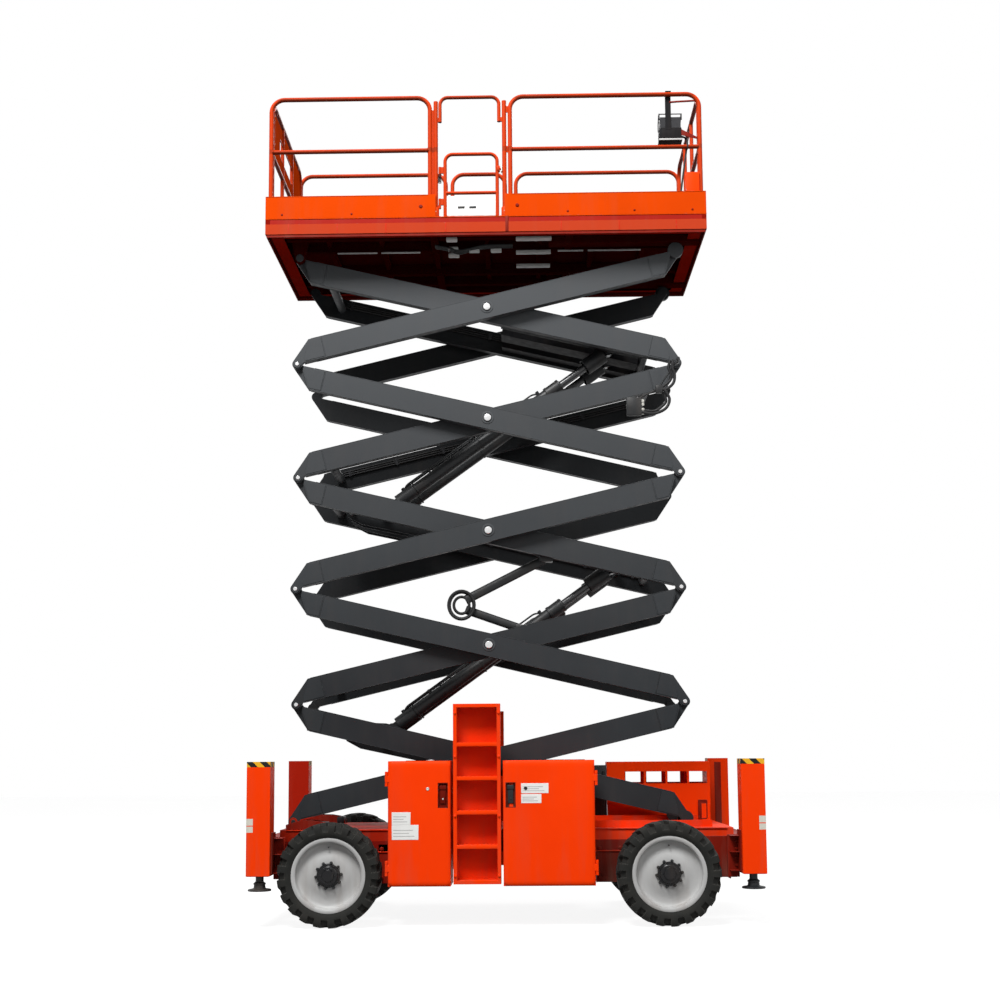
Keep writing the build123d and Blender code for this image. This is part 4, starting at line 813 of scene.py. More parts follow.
# brackets below the rails (middle, half width), and the steps of the outriggers' housings
brackets, fixings = [], []
for x, wide in ((0.905, .120), (-1.02, .10)):
    brackets += [slab((x - wide, x + wide), (-RAIL_Y, -RAIL_Y + .012), (.335, .672)),
                 slab((x - wide, x - wide + .012), (-RAIL_Y, -.40), (.335, .610)),
                 slab((x + wide - .012, x + wide), (-RAIL_Y, -.40), (.335, .610))]
    corners = product((x - wide + .03, x + wide - .03), [-RAIL_Y], (.38, .63))
    fixings += bolts(corners, (0, -1, 0), .024, .014)
for x, inward in ((-END_X, 1), (END_X, -1)):
    for z in (0.455, 0.610, 0.745):
        step = x + inward * .085
        brackets.append(prism([(x, z), (step, z), (step, z + .006), (x, z + .006)], -1.045, -.960))
    brackets += [slab(sorted((x, x + inward * .012)), (-1.10, -.93), (.452, .80)),
                 slab(sorted((x, x + inward * .10)), (-.962, -.950), (.40, .756))]
brackets += [slab((1.70, END_X), (-.812, -.800), (.385, .735)),
             slab((1.90, 1.912), (-.950, -.800), (.385, .735))]
fixings += bolts(product([END_X - .024], [-.962], (.50, .56, .64, .70)), (0, -1, 0), .022, .013)
piece("chassis_brackets", both(brackets), dark_red, "chassis", 30, 0.0025)
along_rail = (-1.62, -1.37, -.85, -.52, -.24, .05, .35, 1.25, 1.50)
fixings += bolts(product(along_rail, [-RAIL_Y], (.632, .768)), (0, -1, 0), .022, .012)
piece("chassis_bolts", both(fixings), dark_red, "chassis", 30)
flanges = [slab((-1.93, 1.93), (-RAIL_Y - .010, -RAIL_Y + .004), (RAIL_TOP + a, RAIL_TOP + b))
           for a, b in ((-.010, .0005), (-.200, -.190))]
piece("chassis_rail_flanges", both(flanges), orange_frame, "chassis", 30, 0.002)

# axle casings: cover flanges and their bolts, input shafts, collars and fixing bolts
FLANGE = [(.06, 0), (.125, 0), (.130, .006), (.130, .016), (.125, .022), (.06, .022), (.06, 0)]
COLLAR = [(.055, 0), (.080, .004), (.080, .03), (.055, .034), (.055, 0)]
castings, plugs = [], []
for x, shaft in ((FRONT_X, .20), (REAR_X, -.20)):
    for hand in (-1, 1):
        castings.append(turned(FLANGE, (x, hand * .16 - .011, AXLE_Z), (0, 1, 0)))
        t = np.arange(10) * TAU / 10
        rim = np.stack([x + .112 * np.cos(t), np.full(10, hand * .171), AXLE_Z + .112 * np.sin(t)], -1)
        plugs += bolts(rim, (0, hand, 0), .015, .009, False)
    castings.append(rod((x, 0, AXLE_Z), (x + shaft, 0, .47), .060, 24, .008))
    castings += [turned(COLLAR, (x, y, AXLE_Z), (0, 1, 0), 28) for y in (-.30, .30)]
    for y in (-.55, .55):
        plugs += bolts(product((x - .062, x + .062), (y - .055, y + .055), [.600]), (0, 0, -1), .024, .014)
piece("axle_castings", castings, black_paint, "chassis", 35)
piece("axle_bolts", plugs, zinc_steel, "chassis", 30)
ram_x, ram_z = FRONT_X - .135, .45
ram = [rod((ram_x, -.26, ram_z), (ram_x, .26, ram_z), .036, 24, .004)]
for hand in (-1, 1):
    ram.append(rod((ram_x, hand * .246, ram_z), (ram_x, hand * .282, ram_z), .042, 24, .004))
    ram.append(block((FRONT_X, hand * .156, ram_z), (-.145, -.040), (-.03, .03), (-.035, .035), .006))
piece("steering_ram", ram, black_paint, "chassis", 35)
piece("steering_ram_rod", [rod((ram_x, -.60, ram_z), (ram_x, .60, ram_z), .019, 20)], chrome, "chassis", 35)

# lines of the brakes and the steering, clipped to the frame and the axles
BRAKE = ((.05, .10, .60), (.06, .22, .545), (.045, .40, .515), (.03, .70, .508))
STEER = ((-.10, .06, .61), (-.12, .14, .55), (-.135, .22, .50))
lines = [hose([(x + dx, hand * y, z) for dx, y, z in line], 6, thick, 8)
         for x, hand in product((FRONT_X, REAR_X), (-1, 1))
         for line, thick in ((BRAKE, .008), (STEER, .010))]
lines += [pipe([(-1.35, y, .592), (1.25, y, .592)], .05, thick, 8)
          for y, thick in ((-.08, .010), (-.11, .010), (-.05, .008))]
piece("chassis_hoses", lines, hose_rubber, "chassis", 50)
clips = [block((x, 0, 0), (-.012, .012), (-.130, -.030), (.578, .602), .003, 1)
         for x in np.arange(-1.2, 1.3, .4)]
piece("chassis_hose_clips", clips, zinc_steel, "chassis", 40)


# ---------------------------------------------------------------- scissor stack
STAGES = range(1, 6)
hinge, centre = pivot("scissor_lift"), pivot("stage_1_centre")
(LEFT_X, _, BASE_Z), (RUN, _, RISE) = hinge, 2 * (centre - hinge)
ARM, LEAN, RIGHT_X = math.hypot(RISE, RUN), math.atan2(RISE, RUN), LEFT_X + RUN
COS, SIN = math.cos(LEAN), math.sin(LEAN)
OUTER_FACE, INNER_FACE = low_high("stage_1_outer_arms")[1][1] - 0.011, 0.520
END_CAP_Y = {True: -.631, False: -.531}
HOSE_Y, HOSE_LINES = .425, (.165, .145, .125)
TUBE_DEEP = 0.206
TUBE_TURN = math.asin(TUBE_DEEP / ARM)
UNDER, OVER = 0.003, 0.203
Y_UP = {"up": (0, 1, 0)}


def on_arm(stage, rising, u, v, y):
    """Points along (u) and across (v) an arm's pin line, carried to the machine's frame."""
    u, v, y = np.broadcast_arrays(np.asarray(u, float), np.asarray(v, float), np.asarray(y, float))
    along = u * COS - v * SIN
    return np.stack([LEFT_X + along if rising else RIGHT_X - along, y,
                     BASE_Z + (stage - 1) * RISE + u * SIN + v * COS], -1)


def off_tube(s, t, far_end=False):
    """Along and across the tube, in the pin line's frame; from the arm's other end if asked."""
    s, t = np.asarray(s, float), np.asarray(t, float)
    c, e = math.cos(TUBE_TURN), math.sin(TUBE_TURN)
    u, v = s * c + t * e, t * c - s * e
    return (ARM - u, -v) if far_end else (u, v)


def arm_prism(stage, rising, uv, y0, y1):
    """An outline along and across the pin line, carried between two Y levels."""
    return tube(np.stack([on_arm(stage, rising, *uv, y) for y in (y0, y1)]))


END_PLATE = np.array([(.074, UNDER + .010), (.074, UNDER + .041), (.156, OVER - .010), (.262, OVER - .010),
                      (.262, UNDER + .010)]).T
for stage, kind in product(STAGES, ("outer", "inner")):
    arms, outer = f"stage_{stage}_{kind}", kind == "outer"
    rising = (stage % 2 == 1) == outer
    face = OUTER_FACE if outer else INNER_FACE
    plates, welds = [], []
    for far_end in (False, True):
        plates.append(arm_prism(stage, rising, off_tube(*END_PLATE, far_end), face - .001, face + .003))
        seam = off_tube(np.full(9, .268), np.linspace(UNDER + .012, OVER - .012, 9), far_end)
        welds.append(swept(on_arm(stage, rising, *seam, face), .0042, 8, **Y_UP))
    for level, y in product((UNDER, OVER), (face - .079, face - .001)):
        seam = off_tube((.175, ARM - .175), (level, level))
        welds.append(swept(on_arm(stage, rising, *seam, y), .0028, 6, **Y_UP))
    piece(f"{arms}_end_plates", both(plates), charcoal, arms, 30, 0.001)
    piece(f"{arms}_weld_seams", both(welds), charcoal, arms, 50)

# caps on the pins, a bigger one and a collar at each centre
CENTRE_CAP = [(0, 0), (.033, 0), (.033, .004), (.029, .0075), (.012, .009), (0, .009)]
PIN_COLLAR = [(.040, -.001), (.058, -.001), (.058, .003), (.055, .005), (.040, .005), (.040, -.001)]
END_CAP = [(0, 0), (.018, 0), (.018, .004), (.015, .007), (0, .0075)]
for stage in STAGES:
    x, _, z = pivot(f"stage_{stage}_centre")
    for label, shape, y, steps, finish, owner in (
            ("pin_caps", CENTRE_CAP, -OUTER_FACE - .011, 28, pin_steel, "inner"),
            ("collars", PIN_COLLAR, -OUTER_FACE, 36, charcoal_light, "outer")):
        made = turned(shape, (x, y, z), (0, -1, 0), steps)
        piece(f"stage_{stage}_centre_{label}", both([made]), finish, f"stage_{stage}_{owner}", 30)
for stage, (x, end) in product(range(5), ((LEFT_X, "left"), (RIGHT_X, "right"))):
    outer = (stage % 2 == 1) == (end == "right")
    if stage or end == "left":
        at = (x, END_CAP_Y[outer or not stage], BASE_Z + stage * RISE)
        made = turned(END_CAP, at, (0, -1, 0), 24)
        owner = f"stage_{stage}_{'outer' if outer else 'inner'}" if stage else "chassis"
        piece(f"pin_caps_{end}_{stage}", both([made]), pin_steel if stage else black_paint, owner, 30)

# hydraulic lines: each clamped to one arm from end to end
FIRST, LAST = .34, ARM - .34
CLAMP_S, CLAMP_T = np.array((-.014, .014, .014, -.014)), (.112, .112, .178, .178)
for stage in STAGES:
    arms, rising = f"stage_{stage}_inner", stage % 2 == 0
    hoses = [swept(on_arm(stage, rising, *off_tube(np.linspace(FIRST, LAST, 14), np.full(14, t)), HOSE_Y),
                   .0085, 8, **Y_UP) for t in HOSE_LINES]
    clamps = [arm_prism(stage, rising, off_tube(s + CLAMP_S, CLAMP_T), .412, .441)
              for s in np.linspace(FIRST + .06, LAST - .06, 7)]
    piece(f"{arms[:-6]}_hoses", hoses, hose_rubber, arms, 50)
    piece(f"{arms[:-6]}_hose_clamps", clamps, moulded, arms, 30, 0.0015)

# lugs on the inner arms' cross tubes, either side of each lift cylinder's foot
LUG = np.array([(-.45, -.10), (-.45, -.155), (-.32, -.215), (.22, -.255), (.36, -.225), (.42, -.150),
                (.42, -.060), (.06, .030), (-.06, .030)]).T
for name, stage in (("lower", 1), ("upper", 3)):
    foot, arms = pivot(f"{name}_cylinder_foot"), f"stage_{stage}_inner"
    back, up = RIGHT_X - foot[0], foot[2] - BASE_Z - (stage - 1) * RISE
    u, v = back * COS + up * SIN, up * COS - back * SIN
    lugs = [arm_prism(stage, False, LUG + [[u], [v]], y, y + .014) for y in (-.292, -.122)]
    lugs.append(rod(*(on_arm(stage, False, u + .32, v - .175, y) for y in (-.44, -.115)), .034, 20))
    # the lugs take the inner arms' darker paint: painted shade
    piece(f"{name}_cylinder_lugs", both(lugs), charcoal_inner_shaded, arms, 30, 0.002)

# hose loops at the rear end of the fourth stage: from its junction block and back to the arm
loops, arms = [], "stage_4_inner"
for y, out in ((-.676, 0.0), (-.650, -.028)):
    loops.append(hose([
        (1.24, y, 4.505 - out), (1.36, y, 4.490 - out), (1.465 + out, y, 4.535 - out),
        (1.502 + out, y, 4.615), (1.470 + out, y, 4.690), (1.43 + out, y, 4.735)], 7, .0135))
    loops.append(hose([
        (1.40, y, 4.715), (1.475 + out, y, 4.715 - out), (1.540 + out, y, 4.770 - out),
        (1.552 + out, y, 4.850), (1.530 + out, y, 4.920), (1.545 + out, y, 4.985)], 7, .0135))
piece("rear_hose_loops", loops, hose_rubber, arms, 50)
junction = [pillow((1.115, -.690, 4.475), (1.250, -.637, 4.640), .008, 2),
            pillow((1.38, -.690, 4.68), (1.44, -.637, 4.75), .005, 2),
            pipe([(1.18, -.643, 4.62), (1.40, -.643, 4.72), (1.590, -.643, 5.000)], .06, .009, 8),
            rod((1.590, -.530, 5.001), (1.590, -.662, 5.001), .017, 16)]
piece("rear_junction_block", junction, black_paint, arms, 40)
UNION = [(0, 0), (.015, 0), (.015, .018), (.012, .024), (0, .024)]
unions = [turned(UNION, (1.25, -.662, z), (1, 0, 0), 6) for z in (4.500, 4.532, 4.580, 4.612)]
piece("rear_junction_unions", unions, zinc_steel, arms, 30)

# box beams along the upper stage's inner frame, either side of the cylinders' heads, painted matte black:
# painted shade under the deck
outline = off_tube((.34, 1.66, 1.66, .34), (.030, .030, .150, .150))
beams = [arm_prism(5, False, outline, *span) for span in ((-.441, -.285), (-.115, .115), (.285, .441))]
piece("stage_5_frame_beams", beams, matte_black, "stage_5_inner", 30, 0.003)

# hose carrier: an upper and a lower channel, and the hose loops at their knuckle
upper = [pipe([(.36, -.355, 3.215), (-.36, -.355, 2.850)], .02, .042, 16, flat=.5, **Y_UP),
         pillow((.32, -.440, 3.190), (.44, -.330, 3.262), .006, 2)]
carrier = piece("hose_carrier_upper", upper, black_paint, None, 40)
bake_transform(carrier)
t = np.linspace(0, TAU, 33)[:-1]
rings = []
for r, y in ((.118, -.378), (.110, -.350), (.070, -.362)):
    ring = np.stack([-.395 + r * np.cos(t), y + 0 * t, 2.803 + r * 1.1 * np.sin(t)], -1)
    rings.append(swept(ring, .0135, 10, True, **Y_UP))
piece("hose_carrier_loops", rings, hose_rubber, "stage_3_outer", 50)
lower = [pipe([(-.36, -.335, 2.765), (.16, -.335, 2.580)], .02, .040, 16, flat=.5, **Y_UP),
         pillow((.10, -.440, 2.545), (.20, -.315, 2.615), .006, 2)]
carrier = piece("hose_carrier_lower", lower, black_paint, None, 40)
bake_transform(carrier)


# ---------------------------------------------------------------- lift cylinders
APART, MOUTH = 0.2, 1.935
WIPER = [(.037, 0), (.049, 0), (.047, .006), (.037, .010), (.037, 0)]
GUARD = [(.071, 0), (.076, 0), (.076, .210), (.036, .210), (.036, .206), (.071, .206), (.071, 0)]
BANDS = ((.26, .066, .020), (1.00, .0625, .016), (1.60, .0625, .016), (1.78, .0675, .028),
         (1.915, .0665, .022))
for name in ("lower", "upper"):
    foot, along = pivot(f"{name}_cylinder_foot"), np.array(joints[f"{name}_cylinder_rod"]["axis"], float)
    over, across = np.array((-along[2], 0, along[0])), np.array((0, 1.0, 0))
    feet = [foot + (0, side, 0) for side in (-APART, APART)]
    collars, pipes, ports = [], [], []
    for at in feet:
        for s, r, w in BANDS:
            ring = [(r - .012, 0), (r, .002), (r, w - .002), (r - .012, w), (r - .012, 0)]
            collars.append(turned(ring, at + along * s, along))
        rim = [at + along * (MOUTH + .001) + .050 * (np.cos(a) * over + np.sin(a) * across)
               for a in np.arange(6) * TAU / 6]
        ports += bolts(rim, along, .014, .008, False)
        for lift, s0, s1, turn in ((.086, .17, 1.72, 0.0), (.080, .17, 1.00, .35)):
            up = over * math.cos(turn) + across * math.sin(turn)
            spans = ((s0, .058), (s0 + .05, lift), (s1 - .05, lift), (s1, .058))
            pipes.append(pipe([at + along * s + up * h for s, h in spans], .03, .0085, 8, up=(0.3, .95, .1)))
            ports += [rod(at + along * s + up * .050, at + along * s + up * .084, .018, 6) for s in (s0, s1)]
            ports += [pipe([at + along * s + up * h for h in (.055, lift + .011)], .01, .011, 8)
                      for s in np.linspace(s0 + .3, s1 - .3, 3)]
        ports.append(rod(at + along * 1.70 - over * .052, at + along * 1.70 - over * .100, .022, 8))
    piece(f"{name}_barrel_collars", collars, black_paint, f"{name}_barrels", 30)
    piece(f"{name}_barrel_pipes", pipes, black_paint, f"{name}_barrels", 50)
    piece(f"{name}_barrel_ports", ports, black_paint, f"{name}_barrels", 30)
    # a cup round each rod below its eye, and the wiper at each tube's mouth
    reach = low_high(f"{name}_cylinder_rods")[1] - foot
    to_eye = (reach[0] - reach[2]) / (along[0] - along[2])
    guards = [turned(GUARD, at + along * (to_eye - .270), along) for at in feet]
    piece(f"{name}_rod_guards", guards, black_paint, f"{name}_rods", 30, 0.0008)
    wipers = [turned(WIPER, at + along * MOUTH, along) for at in feet]
    piece(f"{name}_rod_wipers", wipers, hose_rubber, f"{name}_barrels", 40)


# ---------------------------------------------------------------- rear hood
hood_low, hood_high = low_high("rear_hood")
PANEL_Y, HOOD_TOP, HOOD_Y = hood_low[1] + .012, hood_high[2], hood_high[1]
WINDOW_STEP = 0.210
left, right = hood_low[0] + .162, hood_high[0] + .008
spans = [((.966, right), (.802, .962)), ((.966, left), (.960, HOOD_TOP - .002)),
         ((left, right), (.960, HOOD_TOP - .212)), ((left, right), (HOOD_TOP - .096, HOOD_TOP - .002))]
window = (HOOD_TOP - .214, HOOD_TOP - .094)
spans.append(((hood_low[0] + .958, right), window))
spans += [((x, x + .022), window) for x in hood_low[0] + .345 + WINDOW_STEP * np.arange(3)]
splash = [slab(x, (PANEL_Y, PANEL_Y + .006), z) for x, z in spans]
piece("hood_splash_panel", splash, orange, "chassis", 40, 0.001)
post = [block((0, PANEL_Y, 0), (.846, .964), (-.016, .020), (.802, HOOD_TOP - .030), .008),
        pipe([(.930, PANEL_Y - .026, .95), (.915, PANEL_Y - .022, 1.10), (.935, PANEL_Y - .026, 1.28)],
             .05, .013)]
piece("air_intake_post", post, black_paint, "chassis", 40)


def ring_at(x0, x1, z0, z1, y, radius, steps):
    """A round-cornered ring of wire lying in a plane of constant Y."""
    corners = [(x0, y, z0), (x1, y, z0), (x1, y, z1), (x0, y, z1)]
    return swept(rounded_path(corners, .012, 5, True), radius, steps, True, (0, 1, 0))


# the hood's handle pocket is painted dark red: painted shade
pocket = [block((0, PANEL_Y, 0), (1.846, 1.936), (-.008, .001), (.812, .998), .004),
          ring_at(1.852, 1.930, .818, .992, PANEL_Y - .008, .007, 8)]
piece("hood_pocket", pocket, dark_red, "chassis", 40)
strips = [slab((2.050, 2.112), (-.9505, -.944), (.735, 1.360))]
piece("housing_mount_strips", both(strips), dark_red, "chassis", 40, 0.001)
# the hood's end plate is painted dark red: painted shade on the hood's end
edge = [slab((hood_high[0] - .004, hood_high[0] + .003), (hood_low[1] + .02, HOOD_Y - .02),
             (.805, HOOD_TOP - .02))]
piece("hood_end_plate", edge, dark_red, "chassis", 40, 0.001)
frames = [ring_at(x - .080, x + .080, HOOD_TOP - .209, HOOD_TOP - .095, HOOD_Y + dy, .0045, 6)
          for x, dy in product(hood_low[0] + .275 + WINDOW_STEP * np.arange(4), (-.0125, .0005))]
piece("hood_window_frames", frames, orange_frame, "chassis", 50)
latch = [block((hood_high[0] - .150, HOOD_Y, 1.060), (-.024, .024), (-.001, .008), (-.060, .060), .004)]
piece("hood_latch", latch, dark_red, "chassis", 40)
stiff = [block((0, HOOD_Y, z), (hood_low[0] + .02, hood_high[0] - .02), (-.028, -.010), (0, .034), .005)
         for z in (HOOD_TOP - .085, hood_low[2] + .10)]
stiff += [block((x, HOOD_Y, 0), (0, .030), (-.030, -.010), (hood_low[2] + .02, HOOD_TOP - .02), .005)
          for x in (hood_low[0] + .12, hood_high[0] - .235)]
piece("hood_stiffeners", stiff, orange_frame, "chassis", 40)
louvre_x = (hood_low[0] + .30, hood_high[0] - .32)
louvres = [block((0, HOOD_Y, z), louvre_x, (-.002, .0015), (-.005, .005), .0015, 1)
           for z in np.linspace(hood_low[2] + .07, hood_low[2] + .17, 5)]
piece("hood_louvres", louvres, orange, "chassis", 40)


# ---------------------------------------------------------------- platform
OUT, TOE_TOP = DECK_EDGE, low_high("toe_boards")[1][2]
X0, X1 = deck_low[0], deck_high[0]
BOTTOM = FLOOR_TOP - .148
ON_FLOOR = (0, 0, FLOOR_TOP)
seams = [block((x, -OUT, 0), (-.005, .005), (-.0012, .004), (BOTTOM + .004, FLOOR_TOP - .056), .001, 1)
         for x in (-1.921, -1.479, -1.040, -.50, .540, 1.061, 1.573)]
piece("deck_edge_seams", both(seams), orange_seam, "platform", 40)
joint = [block((0, -OUT, 0), (.038, .066), (-.003, .004), (BOTTOM + .002, FLOOR_TOP - .002), .003)]
piece("deck_joint_strap", both(joint), dark_red, "platform", 40)
# a dark red strip laid in the deck's edge groove: painted shade
lip = [slab((X0 + .002, X1 - .002), (-OUT + .004, -OUT + .010), (FLOOR_TOP - .0545, FLOOR_TOP - .0085))]
piece("deck_groove_strip", both(lip), deck_groove_shade, "platform", 40, 0.001)
# the deck's under flanges are painted dark red: painted shade
level = (BOTTOM + .0004, BOTTOM + .006)
flanges = both([slab((X0 + .002, X1 - .002), (-OUT + .0005, -OUT + .11), level)])
flanges += [slab(x, (-OUT + .112, OUT - .112), level)
            for x in ((X0 + .004, X0 + .150), (X1 - .150, X1 - .004))]
piece("deck_edge_flanges", flanges, deck_flange_shade, "platform", 40, 0.0015)
# a dark red hem hung below the deck's edge: painted shade
level = (BOTTOM - .026, BOTTOM + .004)
hem = both([slab((X0 + .010, X1 - .010), (-OUT + .006, -OUT + .012), level)])
hem += [slab((x, x + .006), (-OUT + .014, OUT - .014), level) for x in (X0 + .010, X1 - .016)]
piece("deck_hem", hem, dark_red, "platform", 40, 0.0015)

# floor plates, laid in four lengths with a strip over each seam
SCREW = [(0, .0), (.007, .0), (.0062, .0018), (.002, .0026), (0, .0026)]
cuts = np.linspace(X0 + .018, X1 - .018, 5)
plates = [slab((a + .0015, b - .0015), (-OUT + .020, OUT - .020), (FLOOR_TOP - .001, FLOOR_TOP + .003))
          for a, b in zip(cuts[:-1], cuts[1:])]
strips = [block((x, 0, FLOOR_TOP), (-.022, .022), (-OUT + .021, OUT - .021), (.002, .0055), .002, 1)
          for x in cuts[1:-1]]
screws = [turned(SCREW, (x, y, FLOOR_TOP + .0052), (0, 0, 1), 10)
          for x, y in product(cuts[1:-1], np.linspace(-OUT + .08, OUT - .08, 9))]
piece("deck_floor_plates", plates, deck_plate, "platform", 30)
piece("deck_floor_strips", strips, zinc_steel, "platform", 40)
piece("deck_floor_screws", screws, pin_steel, "platform", 30)

# toe board bolts and joints, folded top edges
BIG_HEAD = [(0, 0), (.016, 0), (.016, .004), (.011, .008), (0, .009)]
SMALL_HEAD = [(0, 0), (.010, 0), (.010, .002), (.007, .005), (0, .006)]
heads = [turned(BIG_HEAD, (x, -OUT, FLOOR_TOP + .097), (0, -1, 0), 18) for x in (-.725, .146)]
heads += [turned(SMALL_HEAD, (x, -OUT, FLOOR_TOP + .035), (0, -1, 0), 14)
          for x in (-1.98, -1.35, .60, 1.20, 1.72)]
piece("toe_board_bolts", both(heads), dark_red, "platform", 30)
near, far, across = (-OUT, -OUT + .020), (OUT - .020, OUT), (-OUT, OUT)
folds = [block((0, 0, TOE_TOP), x, y, (-.012, -.0005), .004)
         for x, y in (((X0, -.655), near), ((.085, X1), near), ((X0, X0 + .020), across),
                      ((X1 - .020, X1), across), ((X0, X1), far))]
piece("toe_board_folds", folds, orange, "platform", 40)

# guard rails: sockets with pins at the feet of the posts, collars where tubes meet
RAIL_LINE = .840
FIRST_POST, LAST_POST = X0 + .040, X1 - .040
SOCKET = [(.0195, 0), (.030, 0), (.030, .085), (.0275, .09), (.0195, .09), (.0195, 0)]
WELD = [(.0150, -.001), (.0265, -.001), (.0235, .0035), (.0205, .007), (.0150, .007), (.0150, -.001)]
sockets, pins, welds = [], [], []
for side, posts, spans in (
        (-1, (-.643, -.590, .032, .085), ((FIRST_POST, -.643), (.085, LAST_POST))),
        (1, (-.590, -.523, .020, .130), ((FIRST_POST, -.590), (-.523, .020), (.130, LAST_POST)))):
    for x in (FIRST_POST, *posts, LAST_POST):
        foot = np.array((x, side * RAIL_LINE, FLOOR_TOP))
        sockets.append(turned(SOCKET, foot + (0, 0, .003), (0, 0, 1), 24))
        sockets.append(block(foot, (-.045, .045), (-side * .035, side * .022), (.002, .011), .003, 1))
        pins.append(rod(foot + (0, -side * .052, .052), foot + (0, side * .034, .052), .0055, 10))
        pins += bolts([foot + (dx, -side * .016, .011) for dx in (-.034, .034)], (0, 0, 1), .013, .008)
    for ends in spans:
        welds += [turned(WELD, (x + way * .0185, side * RAIL_LINE, MID_AXIS), (way, 0, 0), 20)
                  for x, way in zip(ends, (1, -1))]
piece("rail_sockets", sockets, orange_rails, "platform", 30)
piece("rail_socket_pins", pins, zinc_steel, "platform", 30)
piece("rail_weld_collars", welds, orange_rails, "platform", 50)

# entry gate: spring latch with its knob and keeper, spring at the hinge, white kick plate
KNOB = [(0, 0), (.006, 0), (.007, .012), (.014, .016), (.016, .026), (.012, .034), (0, .036)]
GATE_Y, GATE_FREE = pivot("entry_gate_hinge")[1], -.034
at = np.array((GATE_FREE, GATE_Y, FLOOR_TOP + .455))
catch = [block(at, (-.004, .026), (-.020, .020), (-.025, .025), .006),
         rod(at + (.004, 0, 0), at + (.040, 0, 0), .009, 14)]
piece("gate_latch", catch, orange_rails, "entry_gate", 35)
piece("gate_latch_knob", [turned(KNOB, at + (.011, .019, 0), (0, 1, 0), 20)], moulded, "entry_gate", 40)
keeper = [block((0, GATE_Y, FLOOR_TOP), (.002, .013), (-.024, .024), (.425, .485), .003, 1)]
piece("gate_keeper", keeper, zinc_steel, "platform", 40)
s = np.linspace(0, 1, 121)
coil = np.stack([-.555 + .0135 * np.cos(s * TAU * 9), GATE_Y + .0135 * np.sin(s * TAU * 9),
                 FLOOR_TOP + .33 + .08 * s], -1)
piece("gate_spring", [swept(coil, .0026, 6, up=(.02, .01, 1))], black_paint, "entry_gate", 50)
kick = [block((0, GATE_Y, FLOOR_TOP), (-.505, -.040), (-.004, .004), (.018, .205), .003)]
piece("gate_kick_plate", kick, white_paint, "entry_gate", 40)
slots = [block((x, GATE_Y, FLOOR_TOP), (0, .062), (-.0055, -.003), (.086, .108), .001)
         for x in (-.392, -.288)]
piece("gate_kick_slots", slots, black_paint, "entry_gate", 40)


# ---------------------------------------------------------------- platform underside
# white trays and pads under the deck: their white is painted light, standing for light seen through gaps in
# the deck
tray = [block((0, y, BOTTOM), (.130, .455), (-.034, .034), (-.012, .010), .004) for y in (-.700, -.360, .0)]
pads = [block((x, y, BOTTOM), (-.050, .050), (-.040, .040), (-.014, .012), .008)
        for x, y in ((-.455, -.70), (-.455, -.46), (-.455, -.30), (-.260, -.42), (-.055, -.42))]
pads += [block((0, 0, BOTTOM), x, (-.372, -.350), (.004, .016), .003, 1)
         for x in ((-1.545, -1.170), (-1.132, -.766), (.520, .760), (.80, 1.296))]
piece("deck_slide_trays", tray, white_paint, "platform", 40)
piece("deck_slide_pads", pads, white_paint, "platform", 40)
# stringers under the deck, painted near black: painted shade
frames = [slab((X0 + .05, X1 - .05), (y - .025, y + .025), (BOTTOM + .030, BOTTOM + .118))
          for y in (-.62, -.315, .315, .62)]
for x in (-.62, .62):
    frames += both([slab((x - .035, x + .035), (-.80, -.30), (BOTTOM + .018, BOTTOM + .08))])
piece("deck_stringers", frames, deck_inside_shade, "platform", 30, 0.003)
pipes = [hose([(x, y + dy, BOTTOM + z) for x, dy, z in (
    (-.62, 0, .012), (-.50, .02, -.006), (-.40, .06, -.016 - .004 * k), (-.30, .05, -.004), (-.15, 0, .006),
    (.10, 0, .010))], 6, .011, 8) for k, y in enumerate((-.53, -.50, -.47))]
piece("deck_hoses", pipes, hose_rubber, "platform", 50)


# ---------------------------------------------------------------- control box
box_low, box_high = low_high("control_box")
CX0, CX1 = box_low[0] + .002, box_high[0] - .002
CY0, CY1 = -.818, box_high[1] - .001
CZ0, CZ1 = box_low[2] + .001, box_low[2] + .237
PLATE_X = (CX0 + .060, CX0 + .112)
case = pillow((CX0 + .004, CY0 + .003, CZ0 + .020), (CX1 - .004, CY1 - .003, CZ0 + .126), .010, 3)
face = prism([(CY0 + .010, CZ0 + .120), (CY1 - .006, CZ0 + .120), (CY1 - .006, CZ0 + .146),
              (CY0 + .060, CZ1 - .012), (CY0 + .010, CZ1 - .012)], CX0 + .012, CX1 - .012, 0)
base = pillow((CX0, CY0, CZ0), (CX1, CY1, CZ0 + .022), .004, 2)
edge_strip = pillow((CX0 + .001, CY0 - .0015, CZ0 + .003), (CX1 - .001, CY0 + .003, CZ0 + .019), .001, 1)
hook = prism([(CY0 + .002, CZ0 + .10), (CY0 + .002, TOP_AXIS - .022), (CY0 + .004, TOP_AXIS + .0215),
              (-.8585, TOP_AXIS + .0215), (-.8585, TOP_AXIS + .0255), (CY0 + .008, TOP_AXIS + .0255),
              (CY0 + .008, CZ0 + .10)], *PLATE_X, 0)
piece("control_box_case", [(*case, 0), (*face, 1), (*base, 0), (*edge_strip, 2), (*hook, 3)],
      [matte_black, moulded, label_grey, matte_black], "platform", 35, 0.003, "control_box")

PANEL = np.array(((0, CY1 - .006, CZ0 + .146), (0, CY0 + .060, CZ1 - .012)))
rise = (PANEL[1] - PANEL[0]) / np.linalg.norm(PANEL[1] - PANEL[0])
OFF_PANEL = np.array((0, rise[2], -rise[1]))


def on_panel(x, share):
    """A point on the sloping control panel: x from its middle, share of the way up it."""
    return PANEL[0] + (PANEL[1] - PANEL[0]) * share + ((CX0 + CX1) / 2 + x, 0, 0)


